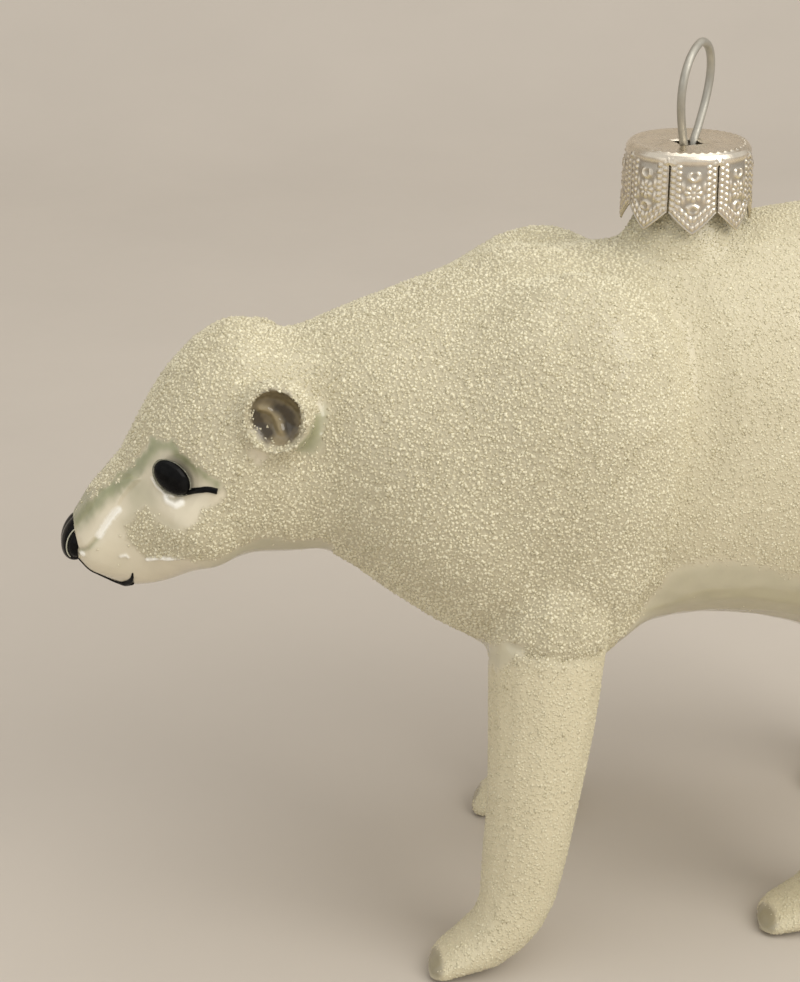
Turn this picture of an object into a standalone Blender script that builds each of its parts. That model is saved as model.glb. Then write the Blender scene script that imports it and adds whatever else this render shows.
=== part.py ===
"""A hanging ornament: a mouth-blown glass polar bear, walking, with a crimped crown cap and a wire loop.

The bear faces -X, its left side faces -Y and its soles stand on z = 0. Sizes below are in millimetres
from a working origin on the floor under the cap; the last step moves that origin to the middle of the
whole ornament's footprint. The glass is one blown piece in life. Here it is modelled whole and parted
by thin cuts into the parts that a person would name.
"""

import math

import bmesh
import bpy
from mathutils import Matrix, Vector

MM = 0.001
GAP = 0.3  # clear width of every cut and of every joint between two pieces
LEFT, RIGHT = -1, 1
SIDES = {"left": LEFT, "right": RIGHT}

# The bear's core, nose to rump, as upright sections: x, top, bottom, half width, and how far the
# section narrows towards its top (0 is a plain oval).
SECTIONS = {
    "muzzle end": (-60.2, 45.6, 41.4, 2.4, 0.00),
    "nostrils": (-59.2, 47.0, 40.3, 3.6, 0.02),
    "lips": (-57.4, 49.7, 39.1, 4.6, 0.08),
    "mouth corner": (-55.2, 51.9, 38.2, 5.6, 0.14),
    "eyes": (-52.0, 57.8, 38.4, 7.3, 0.20),
    "brow": (-49.0, 61.6, 39.6, 8.8, 0.20),
    "cheeks": (-46.0, 63.9, 40.9, 9.7, 0.16),
    "crown": (-43.0, 64.8, 41.3, 9.9, 0.14),
    "nape": (-39.0, 63.2, 41.1, 9.8, 0.12),
    "throat": (-35.6, 64.0, 41.2, 10.4, 0.12),
    "chest front": (-33.4, 64.9, 39.5, 12.2, 0.12),
    "chest": (-28.4, 66.4, 35.9, 15.2, 0.14),
    "chest low": (-23.0, 68.3, 32.4, 17.0, 0.18),
    "withers": (-17.0, 70.3, 30.2, 17.2, 0.22),
    "behind withers": (-12.0, 69.9, 30.0, 16.6, 0.20),
    "saddle": (-7.0, 70.3, 31.2, 16.0, 0.16),
    "back": (0.0, 71.1, 32.3, 16.2, 0.14),
    "loin": (8.0, 72.6, 31.3, 17.0, 0.14),
    "flank": (15.0, 73.4, 28.9, 17.8, 0.14),
    "hips": (22.0, 73.0, 28.8, 18.2, 0.14),
    "rump": (29.0, 69.8, 31.4, 16.8, 0.14),
    "rump fall": (34.0, 63.6, 37.0, 12.6, 0.10),
    "seat": (36.8, 57.0, 44.6, 6.4, 0.00),
}
SECTION_POINTS = 40
SECTION_STEP = 1.2
SECTION_SQUARENESS = 2.25  # exponent of the oval: 2 is an ellipse, more is squarer
NOSE_CLOSE, SEAT_CLOSE = -0.6, 1.0  # how far in front and behind the half-size closing rings lie

# Rounded masses fused to the core, one on each side: centre, radii, tilt about Y in degrees.
MASSES = {
    "shoulder": ((-13.9, 8.6, 49.6), (13.8, 10.4, 20.5), 1.5),
    "haunch": ((22.5, 8.4, 48.5), (12.6, 11.4, 20.5), -6.0),
    "cheek": ((-47.6, 5.2, 46.8), (5.4, 5.0, 5.7), 20.0),
    "brow": ((-47.8, 3.8, 55.6), (3.8, 2.8, 2.8), 40.0),
    "lip pad": ((-57.2, 2.2, 42.9), (3.0, 2.9, 3.1), 30.0),
}
SOCKET = ((-51.4, 8.8, 52.0), (3.4, 2.7, 2.6), 35.0)  # the hollow that each eye lies in

VOXEL = 0.75  # grain of the mesh that fuses the core's masses
FAIR_STEPS = 9  # rounds of smoothing that take the creases out of the fused core
CORE_DETAIL = 0.043  # share of the fused mesh's faces that the solids keep

# Cuts through the core: a point on the plane and the plane's normal, which points to the tail.
CUTS = {
    "muzzle": ((-54.4, 0.0, 46.0), (0.88, 0.0, 0.47)),
    "head": ((-38.6, 0.0, 52.0), (0.98, 0.0, 0.18)),
    "neck": ((-27.6, 0.0, 52.0), (0.93, 0.0, -0.37)),
    "trunk": ((11.5, 0.0, 50.0), (1.0, 0.0, 0.0)),
}

# Each leg is a bent tube: x, distance from the middle, z, fore-and-aft radius, side radius. The
# first two stations lie inside the trunk. Both front feet share their stations, and so do both hind.
LEGS = {
    "front_left": [
        (-14.8, 11.6, 47.0, 6.4, 5.8),
        (-15.7, 13.2, 38.0, 6.20, 5.8),
        (-16.4, 14.3, 28.0, 5.60, 5.3),
        (-17.3, 15.0, 19.0, 4.85, 4.8),
    ],
    "front_right": [
        (-14.6, 11.6, 47.0, 6.4, 5.8),
        (-12.6, 13.2, 38.0, 6.00, 5.8),
        (-10.2, 14.3, 28.0, 5.45, 5.3),
        (-8.4, 15.0, 19.0, 4.85, 4.8),
    ],
    "hind_left": [
        (22.6, 10.0, 47.0, 8.6, 7.2),
        (20.8, 11.6, 36.0, 7.6, 6.6),
        (18.8, 12.6, 26.0, 6.2, 5.6),
        (17.8, 13.0, 18.0, 5.1, 4.9),
    ],
    "hind_right": [
        (24.6, 10.0, 47.0, 8.6, 7.2),
        (27.4, 11.6, 36.0, 7.6, 6.6),
        (30.4, 12.6, 26.0, 6.2, 5.6),
        (32.0, 13.0, 18.0, 5.1, 4.9),
    ],
}
ANKLES = {"front_left": -18.2, "front_right": -7.4, "hind_left": 17.2, "hind_right": 32.2}
# The foot from the ankle forward: reach in front of the ankle, z, fore-and-aft and side radius.
FEET = {
    "front": [
        (0.0, 11.2, 4.35, 4.60),
        (0.9, 6.7, 3.95, 4.70),
        (3.5, 3.5, 3.05, 4.60),
        (6.8, 1.9, 1.95, 4.10),
    ],
    "hind": [
        (-0.2, 11.0, 4.40, 4.60),
        (0.6, 6.4, 4.00, 4.70),
        (3.3, 3.1, 2.85, 4.60),
        (6.9, 1.7, 1.80, 4.10),
    ],
}
FOOT_SKEW = 0.3  # how far the left side of each foot leads its right side, for each unit of width
TOE_REACH = 3.3  # how far the rounded toe runs past the last station
LEG_SIDES = 14
LEG_STEP = 2.6
SOLE_DEPTH = 0.45  # how much of the foot's underside the flat sole takes off
PAW_CUT = ((1.2, 0.0, 8.6), (0.74, 0.0, 0.67))  # from the ankle; splits the paw from the leg

EAR = {
    "centre": (-40.9, 9.6, 57.9),
    "radii": (3.8, 2.9, 3.8),
    "turn": 24.0,  # about Z, so that the cup looks forward as well as outward
    "hollow shift": (-0.7, 2.0, 0.1),
    "hollow radii": (3.0, 2.2, 3.0),
}
EYE = {"centre": (-50.6, 7.1, 51.7), "radii": (2.0, 0.95, 1.45), "lean": 42.0, "turn": 24.0}
NOSE = {"centre": (-59.5, 0.0, 43.9), "radii": (1.6, 2.75, 2.5), "lean": 22.0}
TAIL = {"root": (35.0, 59.6), "tip": (38.0, 53.8), "root radius": 3.2, "tip radius": 1.9}
TAIL_BALLS = 5  # overlapping balls, from root to tip, that are fused into the tail
TAIL_VOXEL = 0.5
TAIL_FAIR_STEPS = 6
TAIL_DETAIL = 0.1

SPOUT = {
    "outer": 4.7,
    "inner": 3.5,
    "top": 78.1,
    "bore floor": 72.2,
    "collar": [(4.7, 73.8), (5.1, 72.7), (5.5, 71.9), (6.0, 71.0), (6.3, 70.2)],
    "foot": 66.0,
}
CAP = {
    "top": 79.95,
    "top radius": 5.7,
    "shoulder": 0.65,
    "rim radius": 6.3,
    "skirt radius": 6.15,
    "slit top": 78.7,
    "notch": 74.2,
    "tip": 72.3,
    "wall": 0.42,
    "hole": 1.75,
    "petals": 8,
    "petal steps": 4,
    "slit": 0.22,
    "corner": 0.1,  # how far the shoulder's corner is rounded in, and how the skirt's waist curves
    "first petal": -101.3,  # degrees round from +X to the middle of a petal
}
LOOP = {
    "wire": 0.42,
    "turn": 53.2,  # degrees from +X to the plane of the loop
    "top": 89.6,
    "half width": 4.1,
    "lean": 0.7,  # how far the top stands off the upright, square to the loop's plane
    "throat": 0.85,
    "throat z": 79.3,
    "foot z": 73.2,
    "foot spread": 2.55,
}


def material(name, colour, roughness, metallic=0.0):
    made = bpy.data.materials.new(name)
    made.use_nodes = True
    shader = made.node_tree.nodes["Principled BSDF"]
    shader.inputs["Base Color"].default_value = (*colour, 1.0)
    shader.inputs["Roughness"].default_value = roughness
    shader.inputs["Metallic"].default_value = metallic
    return made


def new_collection(name):
    made = bpy.data.collections.new(name)
    bpy.context.scene.collection.children.link(made)
    return made


def add_object(name, mesh, collection, finish=None):
    made = bpy.data.objects.new(name, mesh)
    collection.objects.link(made)
    if finish is not None:
        made.data.materials.clear()
        made.data.materials.append(finish)
    return made


def mesh_from(bm, name):
    """The bmesh as a smooth-shaded mesh, from millimetres to metres, with its faces pointing out."""
    bmesh.ops.remove_doubles(bm, verts=bm.verts, dist=0.001)
    bmesh.ops.recalc_face_normals(bm, faces=bm.faces)
    bmesh.ops.scale(bm, vec=(MM, MM, MM), verts=bm.verts)
    mesh = bpy.data.meshes.new(name)
    bm.to_mesh(mesh)
    bm.free()
    mesh.shade_smooth()
    return mesh


def evaluated_mesh(obj, name):
    """A plain mesh of the object with its modifiers applied, placed in world space."""
    bpy.context.view_layer.update()
    graph = bpy.context.evaluated_depsgraph_get()
    mesh = bpy.data.meshes.new_from_object(obj.evaluated_get(graph), depsgraph=graph)
    mesh.name = name
    mesh.transform(obj.matrix_world)
    return mesh


def ease(a, b, c, d, t):
    """Catmull-Rom: a smooth path from b, at t = 0, to c, at t = 1."""
    return 0.5 * (
        2 * b + (c - a) * t + (2 * a - 5 * b + 4 * c - d) * t**2 + (3 * b - a - 3 * c + d) * t**3
    )


def smooth_rows(rows, step):
    """Rows of numbers filled in along a smooth path, so that the first number moves by about step."""
    rows = [Vector(row) for row in rows]
    padded = [2 * rows[0] - rows[1], *rows, 2 * rows[-1] - rows[-2]]
    filled = []
    for a, b, c, d in zip(padded, padded[1:], padded[2:], padded[3:]):
        spans = max(1, round((c - b).length / step))
        filled += [ease(a, b, c, d, k / spans) for k in range(spans)]
    return filled + [rows[-1]]


def oval_point(angle, squareness):
    """A point on a unit superellipse."""
    c, s = math.cos(angle), math.sin(angle)
    power = 2 / squareness
    return math.copysign(abs(c) ** power, c), math.copysign(abs(s) ** power, s)


def loft(bm, rings):
    """Joins closed rings of points by faces, and closes both ends with a fan to a middle point."""
    loops = [[bm.verts.new(point) for point in ring] for ring in rings]
    count = len(loops[0])
    for one, two in zip(loops, loops[1:]):
        for k in range(count):
            bm.faces.new((one[k], one[(k + 1) % count], two[(k + 1) % count], two[k]))
    for end in (loops[0], loops[-1]):
        middle = bm.verts.new(sum((v.co for v in end), Vector()) / count)
        for k in range(count):
            bm.faces.new((end[k], end[(k + 1) % count], middle))


def core_rings():
    """Upright ovals from the muzzle's end to the seat, with one small ring that rounds each end."""
    rows = smooth_rows(list(SECTIONS.values()), SECTION_STEP)
    first, last = rows[0].copy(), rows[-1].copy()
    for end, reach in ((first, NOSE_CLOSE), (last, SEAT_CLOSE)):
        middle = (end[1] + end[2]) / 2
        end[0] += reach
        end[1] = middle + 0.5 * (end[1] - middle)
        end[2] = middle + 0.5 * (end[2] - middle)
        end[3] *= 0.5
    for x, top, bottom, half_width, taper in [first, *rows, last]:
        ring = []
        for k in range(SECTION_POINTS):
            across, up = oval_point(2 * math.pi * k / SECTION_POINTS, SECTION_SQUARENESS)
            y = half_width * across * (1 - taper * up)
            ring.append((x, y, (top + bottom) / 2 + up * (top - bottom) / 2))
        yield ring


def add_ball(bm, centre, radii, tilt=0.0, turn=0.0, side=RIGHT, segments=16):
    """An ellipsoid, leaned by tilt about Y and turned about Z. side mirrors it across the middle."""
    x, y, z = centre
    place = (
        Matrix.Translation((x, side * y, z))
        @ Matrix.Rotation(math.radians(side * turn), 4, "Z")
        @ Matrix.Rotation(math.radians(tilt), 4, "Y")
        @ Matrix.Diagonal((*radii, 1.0))
    )
    bmesh.ops.create_uvsphere(
        bm, u_segments=segments, v_segments=segments // 2, radius=1.0, matrix=place
    )


def ball_mesh(name, *args, **kwargs):
    bm = bmesh.new()
    add_ball(bm, *args, **kwargs)
    return mesh_from(bm, name)


def boolean(obj, other, operation="DIFFERENCE"):
    modifier = obj.modifiers.new(operation.title(), "BOOLEAN")
    modifier.operation = operation
    modifier.solver = "EXACT"
    modifier.object = other
    return modifier


def make_core(helpers):
    """Trunk, neck and head fused into one smooth closed body."""
    bm = bmesh.new()
    loft(bm, core_rings())
    for side in SIDES.values():
        for centre, radii, tilt in MASSES.values():
            add_ball(bm, centre, radii, tilt, side=side)
    fused = add_object("core_masses", mesh_from(bm, "core_masses"), helpers)
    remesh = fused.modifiers.new("Fuse", "REMESH")
    remesh.mode = "VOXEL"
    remesh.voxel_size = VOXEL * MM
    for side_name, side in SIDES.items():
        centre, radii, tilt = SOCKET
        hollow = add_object(
            "socket_" + side_name, ball_mesh("socket", centre, radii, tilt, side=side), helpers
        )
        boolean(fused, hollow)
    again = fused.modifiers.new("Even", "REMESH")
    again.mode = "VOXEL"
    again.voxel_size = VOXEL * MM
    fair = fused.modifiers.new("Fair", "SMOOTH")
    fair.factor = 0.5
    fair.iterations = FAIR_STEPS
    thin = fused.modifiers.new("Thin", "DECIMATE")
    thin.ratio = CORE_DETAIL
    return evaluated_mesh(fused, "core")


def swollen(mesh, helpers, name):
    """A cutter: the mesh grown by the gap on every side."""
    cutter = add_object(name, mesh.copy(), helpers)
    grow = cutter.modifiers.new("Grow", "DISPLACE")
    grow.strength = GAP * MM
    grow.mid_level = 0.0
    mesh = evaluated_mesh(cutter, name)
    return add_object(name + "_grown", mesh, helpers)


def cut_away(bm, point, normal):
    """Removes what lies past a plane and closes the cut."""
    geometry = [*bm.verts, *bm.edges, *bm.faces]
    cut = bmesh.ops.bisect_plane(
        bm,
        geom=geometry,
        dist=1e-7,
        plane_co=Vector(point) * MM,
        plane_no=Vector(normal),
        clear_outer=True,
    )
    edges = [e for e in cut["geom_cut"] if isinstance(e, bmesh.types.BMEdge)]
    bmesh.ops.triangle_fill(bm, edges=edges, use_beauty=True, use_dissolve=False)


def slab(mesh, name, after=None, before=None):
    """The stretch of a mesh that lies past one cut and short of another, half a gap from each."""
    bm = bmesh.new()
    bm.from_mesh(mesh)
    for cut, direction in ((after, -1), (before, 1)):
        if cut is None:
            continue
        point, normal = Vector(cut[0]), Vector(cut[1]).normalized()
        cut_away(bm, point - normal * direction * GAP / 2, normal * direction)
    bmesh.ops.recalc_face_normals(bm, faces=bm.faces)
    made = bpy.data.meshes.new(name)
    bm.to_mesh(made)
    bm.free()
    return made


def part_core(core, bear, glass):
    """The core's named parts, nose to rump."""
    names = [*CUTS, "rump"]
    planes = [None, *CUTS.values(), None]
    for name, after, before in zip(names, planes, planes[1:]):
        add_object(name, slab(core, name, after, before), bear, glass)


def leg_rings(name, side):
    """Rings of a bent tube from inside the trunk to the toe, square to the tube's own path."""
    rows = [(x, side * out, z, rx, ry) for x, out, z, rx, ry in LEGS[name]]
    out = LEGS[name][-1][1]
    foot = FEET[name.split("_")[0]]
    ankle_z = foot[0][1]
    rows += [(ANKLES[name] - reach, side * out, z, rx, ry) for reach, z, rx, ry in foot]
    rows = smooth_rows(rows, LEG_STEP)
    tip = rows[-1]
    heading = (rows[-1].xyz - rows[-2].xyz).normalized()
    for share in (0.4, 0.7, 0.9):
        shrink = math.sqrt(1 - share**2)
        centre = tip.xyz + heading * TOE_REACH * share
        rows.append(Vector((*centre, tip[3] * shrink, tip[4] * shrink)))
    for before, here, after in zip([rows[0], *rows], rows, [*rows[1:], rows[-1]]):
        along = (after.xyz - before.xyz).normalized()
        sideways = Vector((0.0, 1.0, 0.0))
        forward = sideways.cross(along).normalized()
        sideways = along.cross(forward)
        sideways.x += FOOT_SKEW * sideways.y * max(0.0, 1 - here.z / ankle_z)
        yield [
            here.xyz + forward * here[3] * math.cos(angle) + sideways * here[4] * math.sin(angle)
            for angle in (2 * math.pi * k / LEG_SIDES for k in range(LEG_SIDES))
        ]


def make_legs(bear, helpers, glass, trunk_cutter):
    """Four legs, each parted at the ankle into a leg and a paw, and cut back from the trunk."""
    for name, ankle in ANKLES.items():
        side = LEFT if name.endswith("left") else RIGHT
        bm = bmesh.new()
        loft(bm, leg_rings(name, side))
        whole = mesh_from(bm, "leg")
        bm = bmesh.new()
        bm.from_mesh(whole)
        bmesh.ops.translate(bm, vec=(0, 0, -SOLE_DEPTH * MM), verts=bm.verts)
        cut_away(bm, (0, 0, 0), (0, 0, -1))
        bm.to_mesh(whole)
        bm.free()
        point, normal = PAW_CUT
        cut = ((ankle - point[0], 0.0, point[2]), normal)
        leg = add_object("leg_whole_" + name, slab(whole, "leg", after=cut), helpers)
        boolean(leg, trunk_cutter)
        leg_mesh = largest_piece(evaluated_mesh(leg, "leg_" + name))
        add_object("leg_" + name, leg_mesh, bear, glass)
        add_object("paw_" + name, slab(whole, "paw_" + name, before=cut), bear, glass)


def largest_piece(mesh):
    """Keeps only the biggest of a mesh's separate bodies."""
    bm = bmesh.new()
    bm.from_mesh(mesh)
    left, bodies = set(bm.verts), []
    while left:
        body, edge = set(), [left.pop()]
        while edge:
            vertex = edge.pop()
            body.add(vertex)
            fresh = {e.other_vert(vertex) for e in vertex.link_edges} & left
            left -= fresh
            edge += fresh
        bodies.append(body)
    keep = max(bodies, key=len)
    bmesh.ops.delete(bm, geom=[v for v in bm.verts if v not in keep], context="VERTS")
    bm.to_mesh(mesh)
    bm.free()
    return mesh


def make_ears(bear, helpers, glass, head_cutter):
    """Two cupped ears that look forward and outward."""
    turn = EAR["turn"]
    for side_name, side in SIDES.items():
        ear = add_object(
            "ear_whole_" + side_name,
            ball_mesh("ear", EAR["centre"], EAR["radii"], turn=turn, side=side),
            helpers,
        )
        inner = [a + b for a, b in zip(EAR["centre"], EAR["hollow shift"])]
        hollow = add_object(
            "ear_hollow_" + side_name,
            ball_mesh("ear_hollow", inner, EAR["hollow radii"], turn=turn, side=side),
            helpers,
        )
        boolean(ear, hollow)
        boolean(ear, head_cutter)
        mesh = largest_piece(evaluated_mesh(ear, "ear_" + side_name))
        add_object("ear_" + side_name, mesh, bear, glass)


def make_eyes(bear, helpers, enamel, head_cutter):
    """Two domes of black enamel."""
    for side_name, side in SIDES.items():
        eye = add_object(
            "eye_whole_" + side_name,
            ball_mesh("eye", EYE["centre"], EYE["radii"], EYE["lean"], EYE["turn"], side, 14),
            helpers,
        )
        boolean(eye, head_cutter)
        mesh = largest_piece(evaluated_mesh(eye, "eye_" + side_name))
        add_object("eye_" + side_name, mesh, bear, enamel)


def make_nose(bear, helpers, enamel, head_cutter):
    """The enamel tip of the muzzle."""
    mesh = ball_mesh("nose", NOSE["centre"], NOSE["radii"], NOSE["lean"])
    nose = add_object("nose_whole", mesh, helpers)
    boolean(nose, head_cutter)
    add_object("nose", largest_piece(evaluated_mesh(nose, "nose")), bear, enamel)


def make_tail(bear, helpers, glass, trunk_cutter):
    """A short stub that hangs from the rump."""
    root = Vector((TAIL["root"][0], 0.0, TAIL["root"][1]))
    tip = Vector((TAIL["tip"][0], 0.0, TAIL["tip"][1]))
    bm = bmesh.new()
    for ball in range(TAIL_BALLS):
        share = ball / (TAIL_BALLS - 1)
        radius = TAIL["root radius"] + share * (TAIL["tip radius"] - TAIL["root radius"])
        centre = root.lerp(tip, share)
        add_ball(bm, centre, (radius, radius * 1.1, radius), segments=16)
    tail = add_object("tail_whole", mesh_from(bm, "tail"), helpers)
    remesh = tail.modifiers.new("Fuse", "REMESH")
    remesh.mode = "VOXEL"
    remesh.voxel_size = TAIL_VOXEL * MM
    fair = tail.modifiers.new("Fair", "SMOOTH")
    fair.factor = 0.5
    fair.iterations = TAIL_FAIR_STEPS
    thin = tail.modifiers.new("Thin", "DECIMATE")
    thin.ratio = TAIL_DETAIL
    boolean(tail, trunk_cutter)
    add_object("tail", largest_piece(evaluated_mesh(tail, "tail")), bear, glass)


def turned(name, profile, steps=20):
    """A profile of (radius, z) turned about the cap's axis, outer side first, top to bottom."""
    bm = bmesh.new()
    points = [bm.verts.new((radius, 0.0, z)) for radius, z in profile]
    for one, two in zip(points, points[1:]):
        bm.edges.new((one, two))
    bmesh.ops.spin(
        bm,
        geom=[*bm.verts, *bm.edges],
        axis=(0, 0, 1),
        cent=(0, 0, 0),
        angle=2 * math.pi,
        steps=steps,
        use_merge=True,
    )
    return mesh_from(bm, name)


def make_spout(bear, helpers, glass, trunk_cutter):
    """The open glass tube that the bear was blown through, flared where it meets the back."""
    outer, inner, top = SPOUT["outer"], SPOUT["inner"], SPOUT["top"]
    profile = [
        (0.0, SPOUT["bore floor"]),
        (inner, SPOUT["bore floor"]),
        (inner, top),
        (outer, top),
        *SPOUT["collar"],
        (SPOUT["collar"][-1][0], SPOUT["foot"]),
        (0.0, SPOUT["foot"]),
    ]
    spout = add_object("spout_whole", turned("spout", profile), helpers)
    boolean(spout, trunk_cutter)
    add_object("spout", largest_piece(evaluated_mesh(spout, "spout")), bear, glass)


def petal_edge(share):
    """Height of a petal's lower edge. share runs from -1 to 1 across the petal."""
    return CAP["tip"] + (CAP["notch"] - CAP["tip"]) * abs(share)


def make_cap(bear, tin):
    """The stamped crown cap: a disc with a hole, a rounded shoulder and eight pointed petals."""
    half_petal = math.pi / CAP["petals"]
    slit_angle = CAP["slit"] / CAP["skirt radius"] / 2
    bm = bmesh.new()
    rings = []
    shoulder = CAP["shoulder"]
    head = [
        (CAP["hole"], CAP["top"]),
        (CAP["top radius"], CAP["top"]),
        (CAP["rim radius"] - CAP["corner"], CAP["top"] - shoulder / 2),
        (CAP["rim radius"], CAP["top"] - shoulder),
        (CAP["rim radius"], CAP["slit top"]),
    ]
    edge_row = CAP["notch"] + CAP["corner"] / 2
    for petal in range(CAP["petals"]):
        middle = math.radians(CAP["first petal"]) + 2 * half_petal * petal
        for step in range(CAP["petal steps"] + 1):
            share = 2 * step / CAP["petal steps"] - 1
            angle = middle + share * (half_petal - slit_angle)
            column = [
                *head,
                (CAP["skirt radius"] - CAP["corner"], (CAP["slit top"] + CAP["notch"]) / 2),
                (CAP["skirt radius"], edge_row),
                (CAP["skirt radius"], min(petal_edge(share), edge_row - CAP["corner"])),
            ]
            rings.append(
                [bm.verts.new((r * math.cos(angle), r * math.sin(angle), z)) for r, z in column]
            )
    per_petal = CAP["petal steps"] + 1
    count = len(rings)
    for k, column in enumerate(rings):
        following = rings[(k + 1) % count]
        last_of_petal = k % per_petal == per_petal - 1
        rows = len(head) - 1 if last_of_petal else len(column) - 1
        for row in range(rows):
            bm.faces.new((column[row], column[row + 1], following[row + 1], following[row]))
    mesh = mesh_from(bm, "cap")
    cap = add_object("cap", mesh, bear, tin)
    wall = cap.modifiers.new("Wall", "SOLIDIFY")
    wall.thickness = CAP["wall"] * MM
    wall.offset = -1.0


def loop_path():
    """The wire's middle line, from one spread foot up round the loop and down to the other foot."""
    base, top = LOOP["throat z"], LOOP["top"] - LOOP["wire"]
    # half a teardrop, as (share of the width, share of the height), from its throat up to its crown
    teardrop = [
        (0.24, 0.02),
        (0.42, 0.12),
        (0.62, 0.24),
        (0.81, 0.37),
        (0.95, 0.51),
        (1.0, 0.64),
        (0.94, 0.77),
        (0.76, 0.885),
        (0.45, 0.965),
    ]
    half = [(LOOP["half width"] * w, base + h * (top - base)) for w, h in teardrop]
    foot = [(LOOP["foot spread"], LOOP["foot z"]), (1.75, 75.4), (1.05, 77.6)]
    side = [*foot, *half]
    path = [*side, (0.0, top), *[(-w, z) for w, z in reversed(side)]]
    turn = math.radians(LOOP["turn"])
    along = Vector((math.cos(turn), math.sin(turn), 0.0))
    square = Vector((math.sin(turn), -math.cos(turn), 0.0))
    for w, z in path:
        lean = LOOP["lean"] * max(0.0, (z - base) / (top - base))
        yield along * w + square * lean + Vector((0.0, 0.0, z))


def make_hanger(bear, steel):
    """One bent wire: the hanging loop, and two legs that spring against the spout's bore."""
    curve = bpy.data.curves.new("hanger", "CURVE")
    curve.dimensions = "3D"
    curve.bevel_depth = LOOP["wire"] * MM
    curve.bevel_resolution = 1
    curve.use_fill_caps = True
    path = list(loop_path())
    spline = curve.splines.new("POLY")
    spline.points.add(len(path) - 1)
    for point, place in zip(spline.points, path):
        point.co = (*(place * MM), 1.0)
    helper = bpy.data.objects.new("hanger_curve", curve)
    bear.objects.link(helper)
    mesh = evaluated_mesh(helper, "hanger")
    bpy.data.objects.remove(helper)
    bm = bmesh.new()
    bm.from_mesh(mesh)
    bmesh.ops.remove_doubles(bm, verts=bm.verts, dist=1e-6)
    bm.to_mesh(mesh)
    bm.free()
    add_object("hanger", mesh, bear, steel)


def settle_origin(collection):
    """Moves every piece so that the origin is the middle of the footprint, on the floor."""
    bpy.context.view_layer.update()
    graph = bpy.context.evaluated_depsgraph_get()
    corners = [
        Vector(corner) for obj in collection.objects for corner in obj.evaluated_get(graph).bound_box
    ]
    middle = [(min(c[k] for c in corners) + max(c[k] for c in corners)) / 2 for k in (0, 1)]
    shift = Vector((-middle[0], -middle[1], 0.0))
    for obj in collection.objects:
        obj.data.transform(Matrix.Translation(shift))
    print("origin shift in mm:", [round(v / MM, 3) for v in shift])


def main():
    for obj in list(bpy.data.objects):
        bpy.data.objects.remove(obj)
    bear = new_collection("glass_polar_bear_ornament")
    helpers = new_collection("helpers")
    helpers.hide_render = True

    glass = material("milk_glass", (0.78, 0.76, 0.66), 0.35)
    enamel = material("black_enamel", (0.01, 0.01, 0.01), 0.08)
    tin = material("silvered_tin", (0.80, 0.78, 0.73), 0.25, 1.0)
    steel = material("steel_wire", (0.62, 0.61, 0.58), 0.3, 1.0)

    core = make_core(helpers)
    core_cutter = swollen(core, helpers, "core_cutter")
    part_core(core, bear, glass)
    make_legs(bear, helpers, glass, core_cutter)
    make_ears(bear, helpers, glass, core_cutter)
    make_eyes(bear, helpers, enamel, core_cutter)
    make_nose(bear, helpers, enamel, core_cutter)
    make_tail(bear, helpers, glass, core_cutter)
    make_spout(bear, helpers, glass, core_cutter)
    make_cap(bear, tin)
    make_hanger(bear, steel)
    for helper in helpers.objects:
        helper.display_type = "WIRE"
    settle_origin(bear)


main()
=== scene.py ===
"""Finishes the blown-glass polar bear ornament: glass, crust, enamel, cap, hanger and stage."""

import math

import bmesh
import bpy
import numpy as np
from bpy.props import FloatProperty, FloatVectorProperty, IntProperty, PointerProperty
from mathutils import Matrix, Vector
from mathutils.bvhtree import BVHTree


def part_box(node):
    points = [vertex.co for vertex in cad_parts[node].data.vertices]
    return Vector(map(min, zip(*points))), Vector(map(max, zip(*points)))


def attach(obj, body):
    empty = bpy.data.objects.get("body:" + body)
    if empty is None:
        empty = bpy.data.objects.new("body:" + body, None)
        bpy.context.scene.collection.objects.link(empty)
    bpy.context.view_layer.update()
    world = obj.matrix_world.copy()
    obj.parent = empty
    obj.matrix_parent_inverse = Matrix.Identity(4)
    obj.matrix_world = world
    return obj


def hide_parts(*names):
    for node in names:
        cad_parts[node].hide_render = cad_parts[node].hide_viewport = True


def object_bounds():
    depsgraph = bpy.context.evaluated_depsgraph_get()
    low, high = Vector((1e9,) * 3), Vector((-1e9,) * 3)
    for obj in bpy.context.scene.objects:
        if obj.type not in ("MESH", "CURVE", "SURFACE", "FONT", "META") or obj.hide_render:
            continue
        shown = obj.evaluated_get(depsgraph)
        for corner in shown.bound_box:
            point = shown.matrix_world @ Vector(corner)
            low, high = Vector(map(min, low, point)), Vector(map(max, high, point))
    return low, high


bl_info = {
    "name": "Glass Polar Bear Ornament",
    "version": (1, 0, 0),
    "blender": (4, 5, 0),
    "location": "View3D > Sidebar > Glass Bear",
    "description": "Finishes a blown-glass polar bear ornament with crust, enamel and a crown cap",
    "category": "Object",
}

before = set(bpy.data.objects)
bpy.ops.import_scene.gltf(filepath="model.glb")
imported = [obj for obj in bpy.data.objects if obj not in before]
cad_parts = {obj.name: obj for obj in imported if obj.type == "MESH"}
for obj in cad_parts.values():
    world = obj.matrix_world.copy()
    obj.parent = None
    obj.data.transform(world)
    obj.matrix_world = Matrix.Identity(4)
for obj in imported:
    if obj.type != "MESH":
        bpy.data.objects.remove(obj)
CAD_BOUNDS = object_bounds()

MM = 0.001
SIDES = (-1.0, 1.0)

# ---------------------------------------------------------------- the bear's own places

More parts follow.
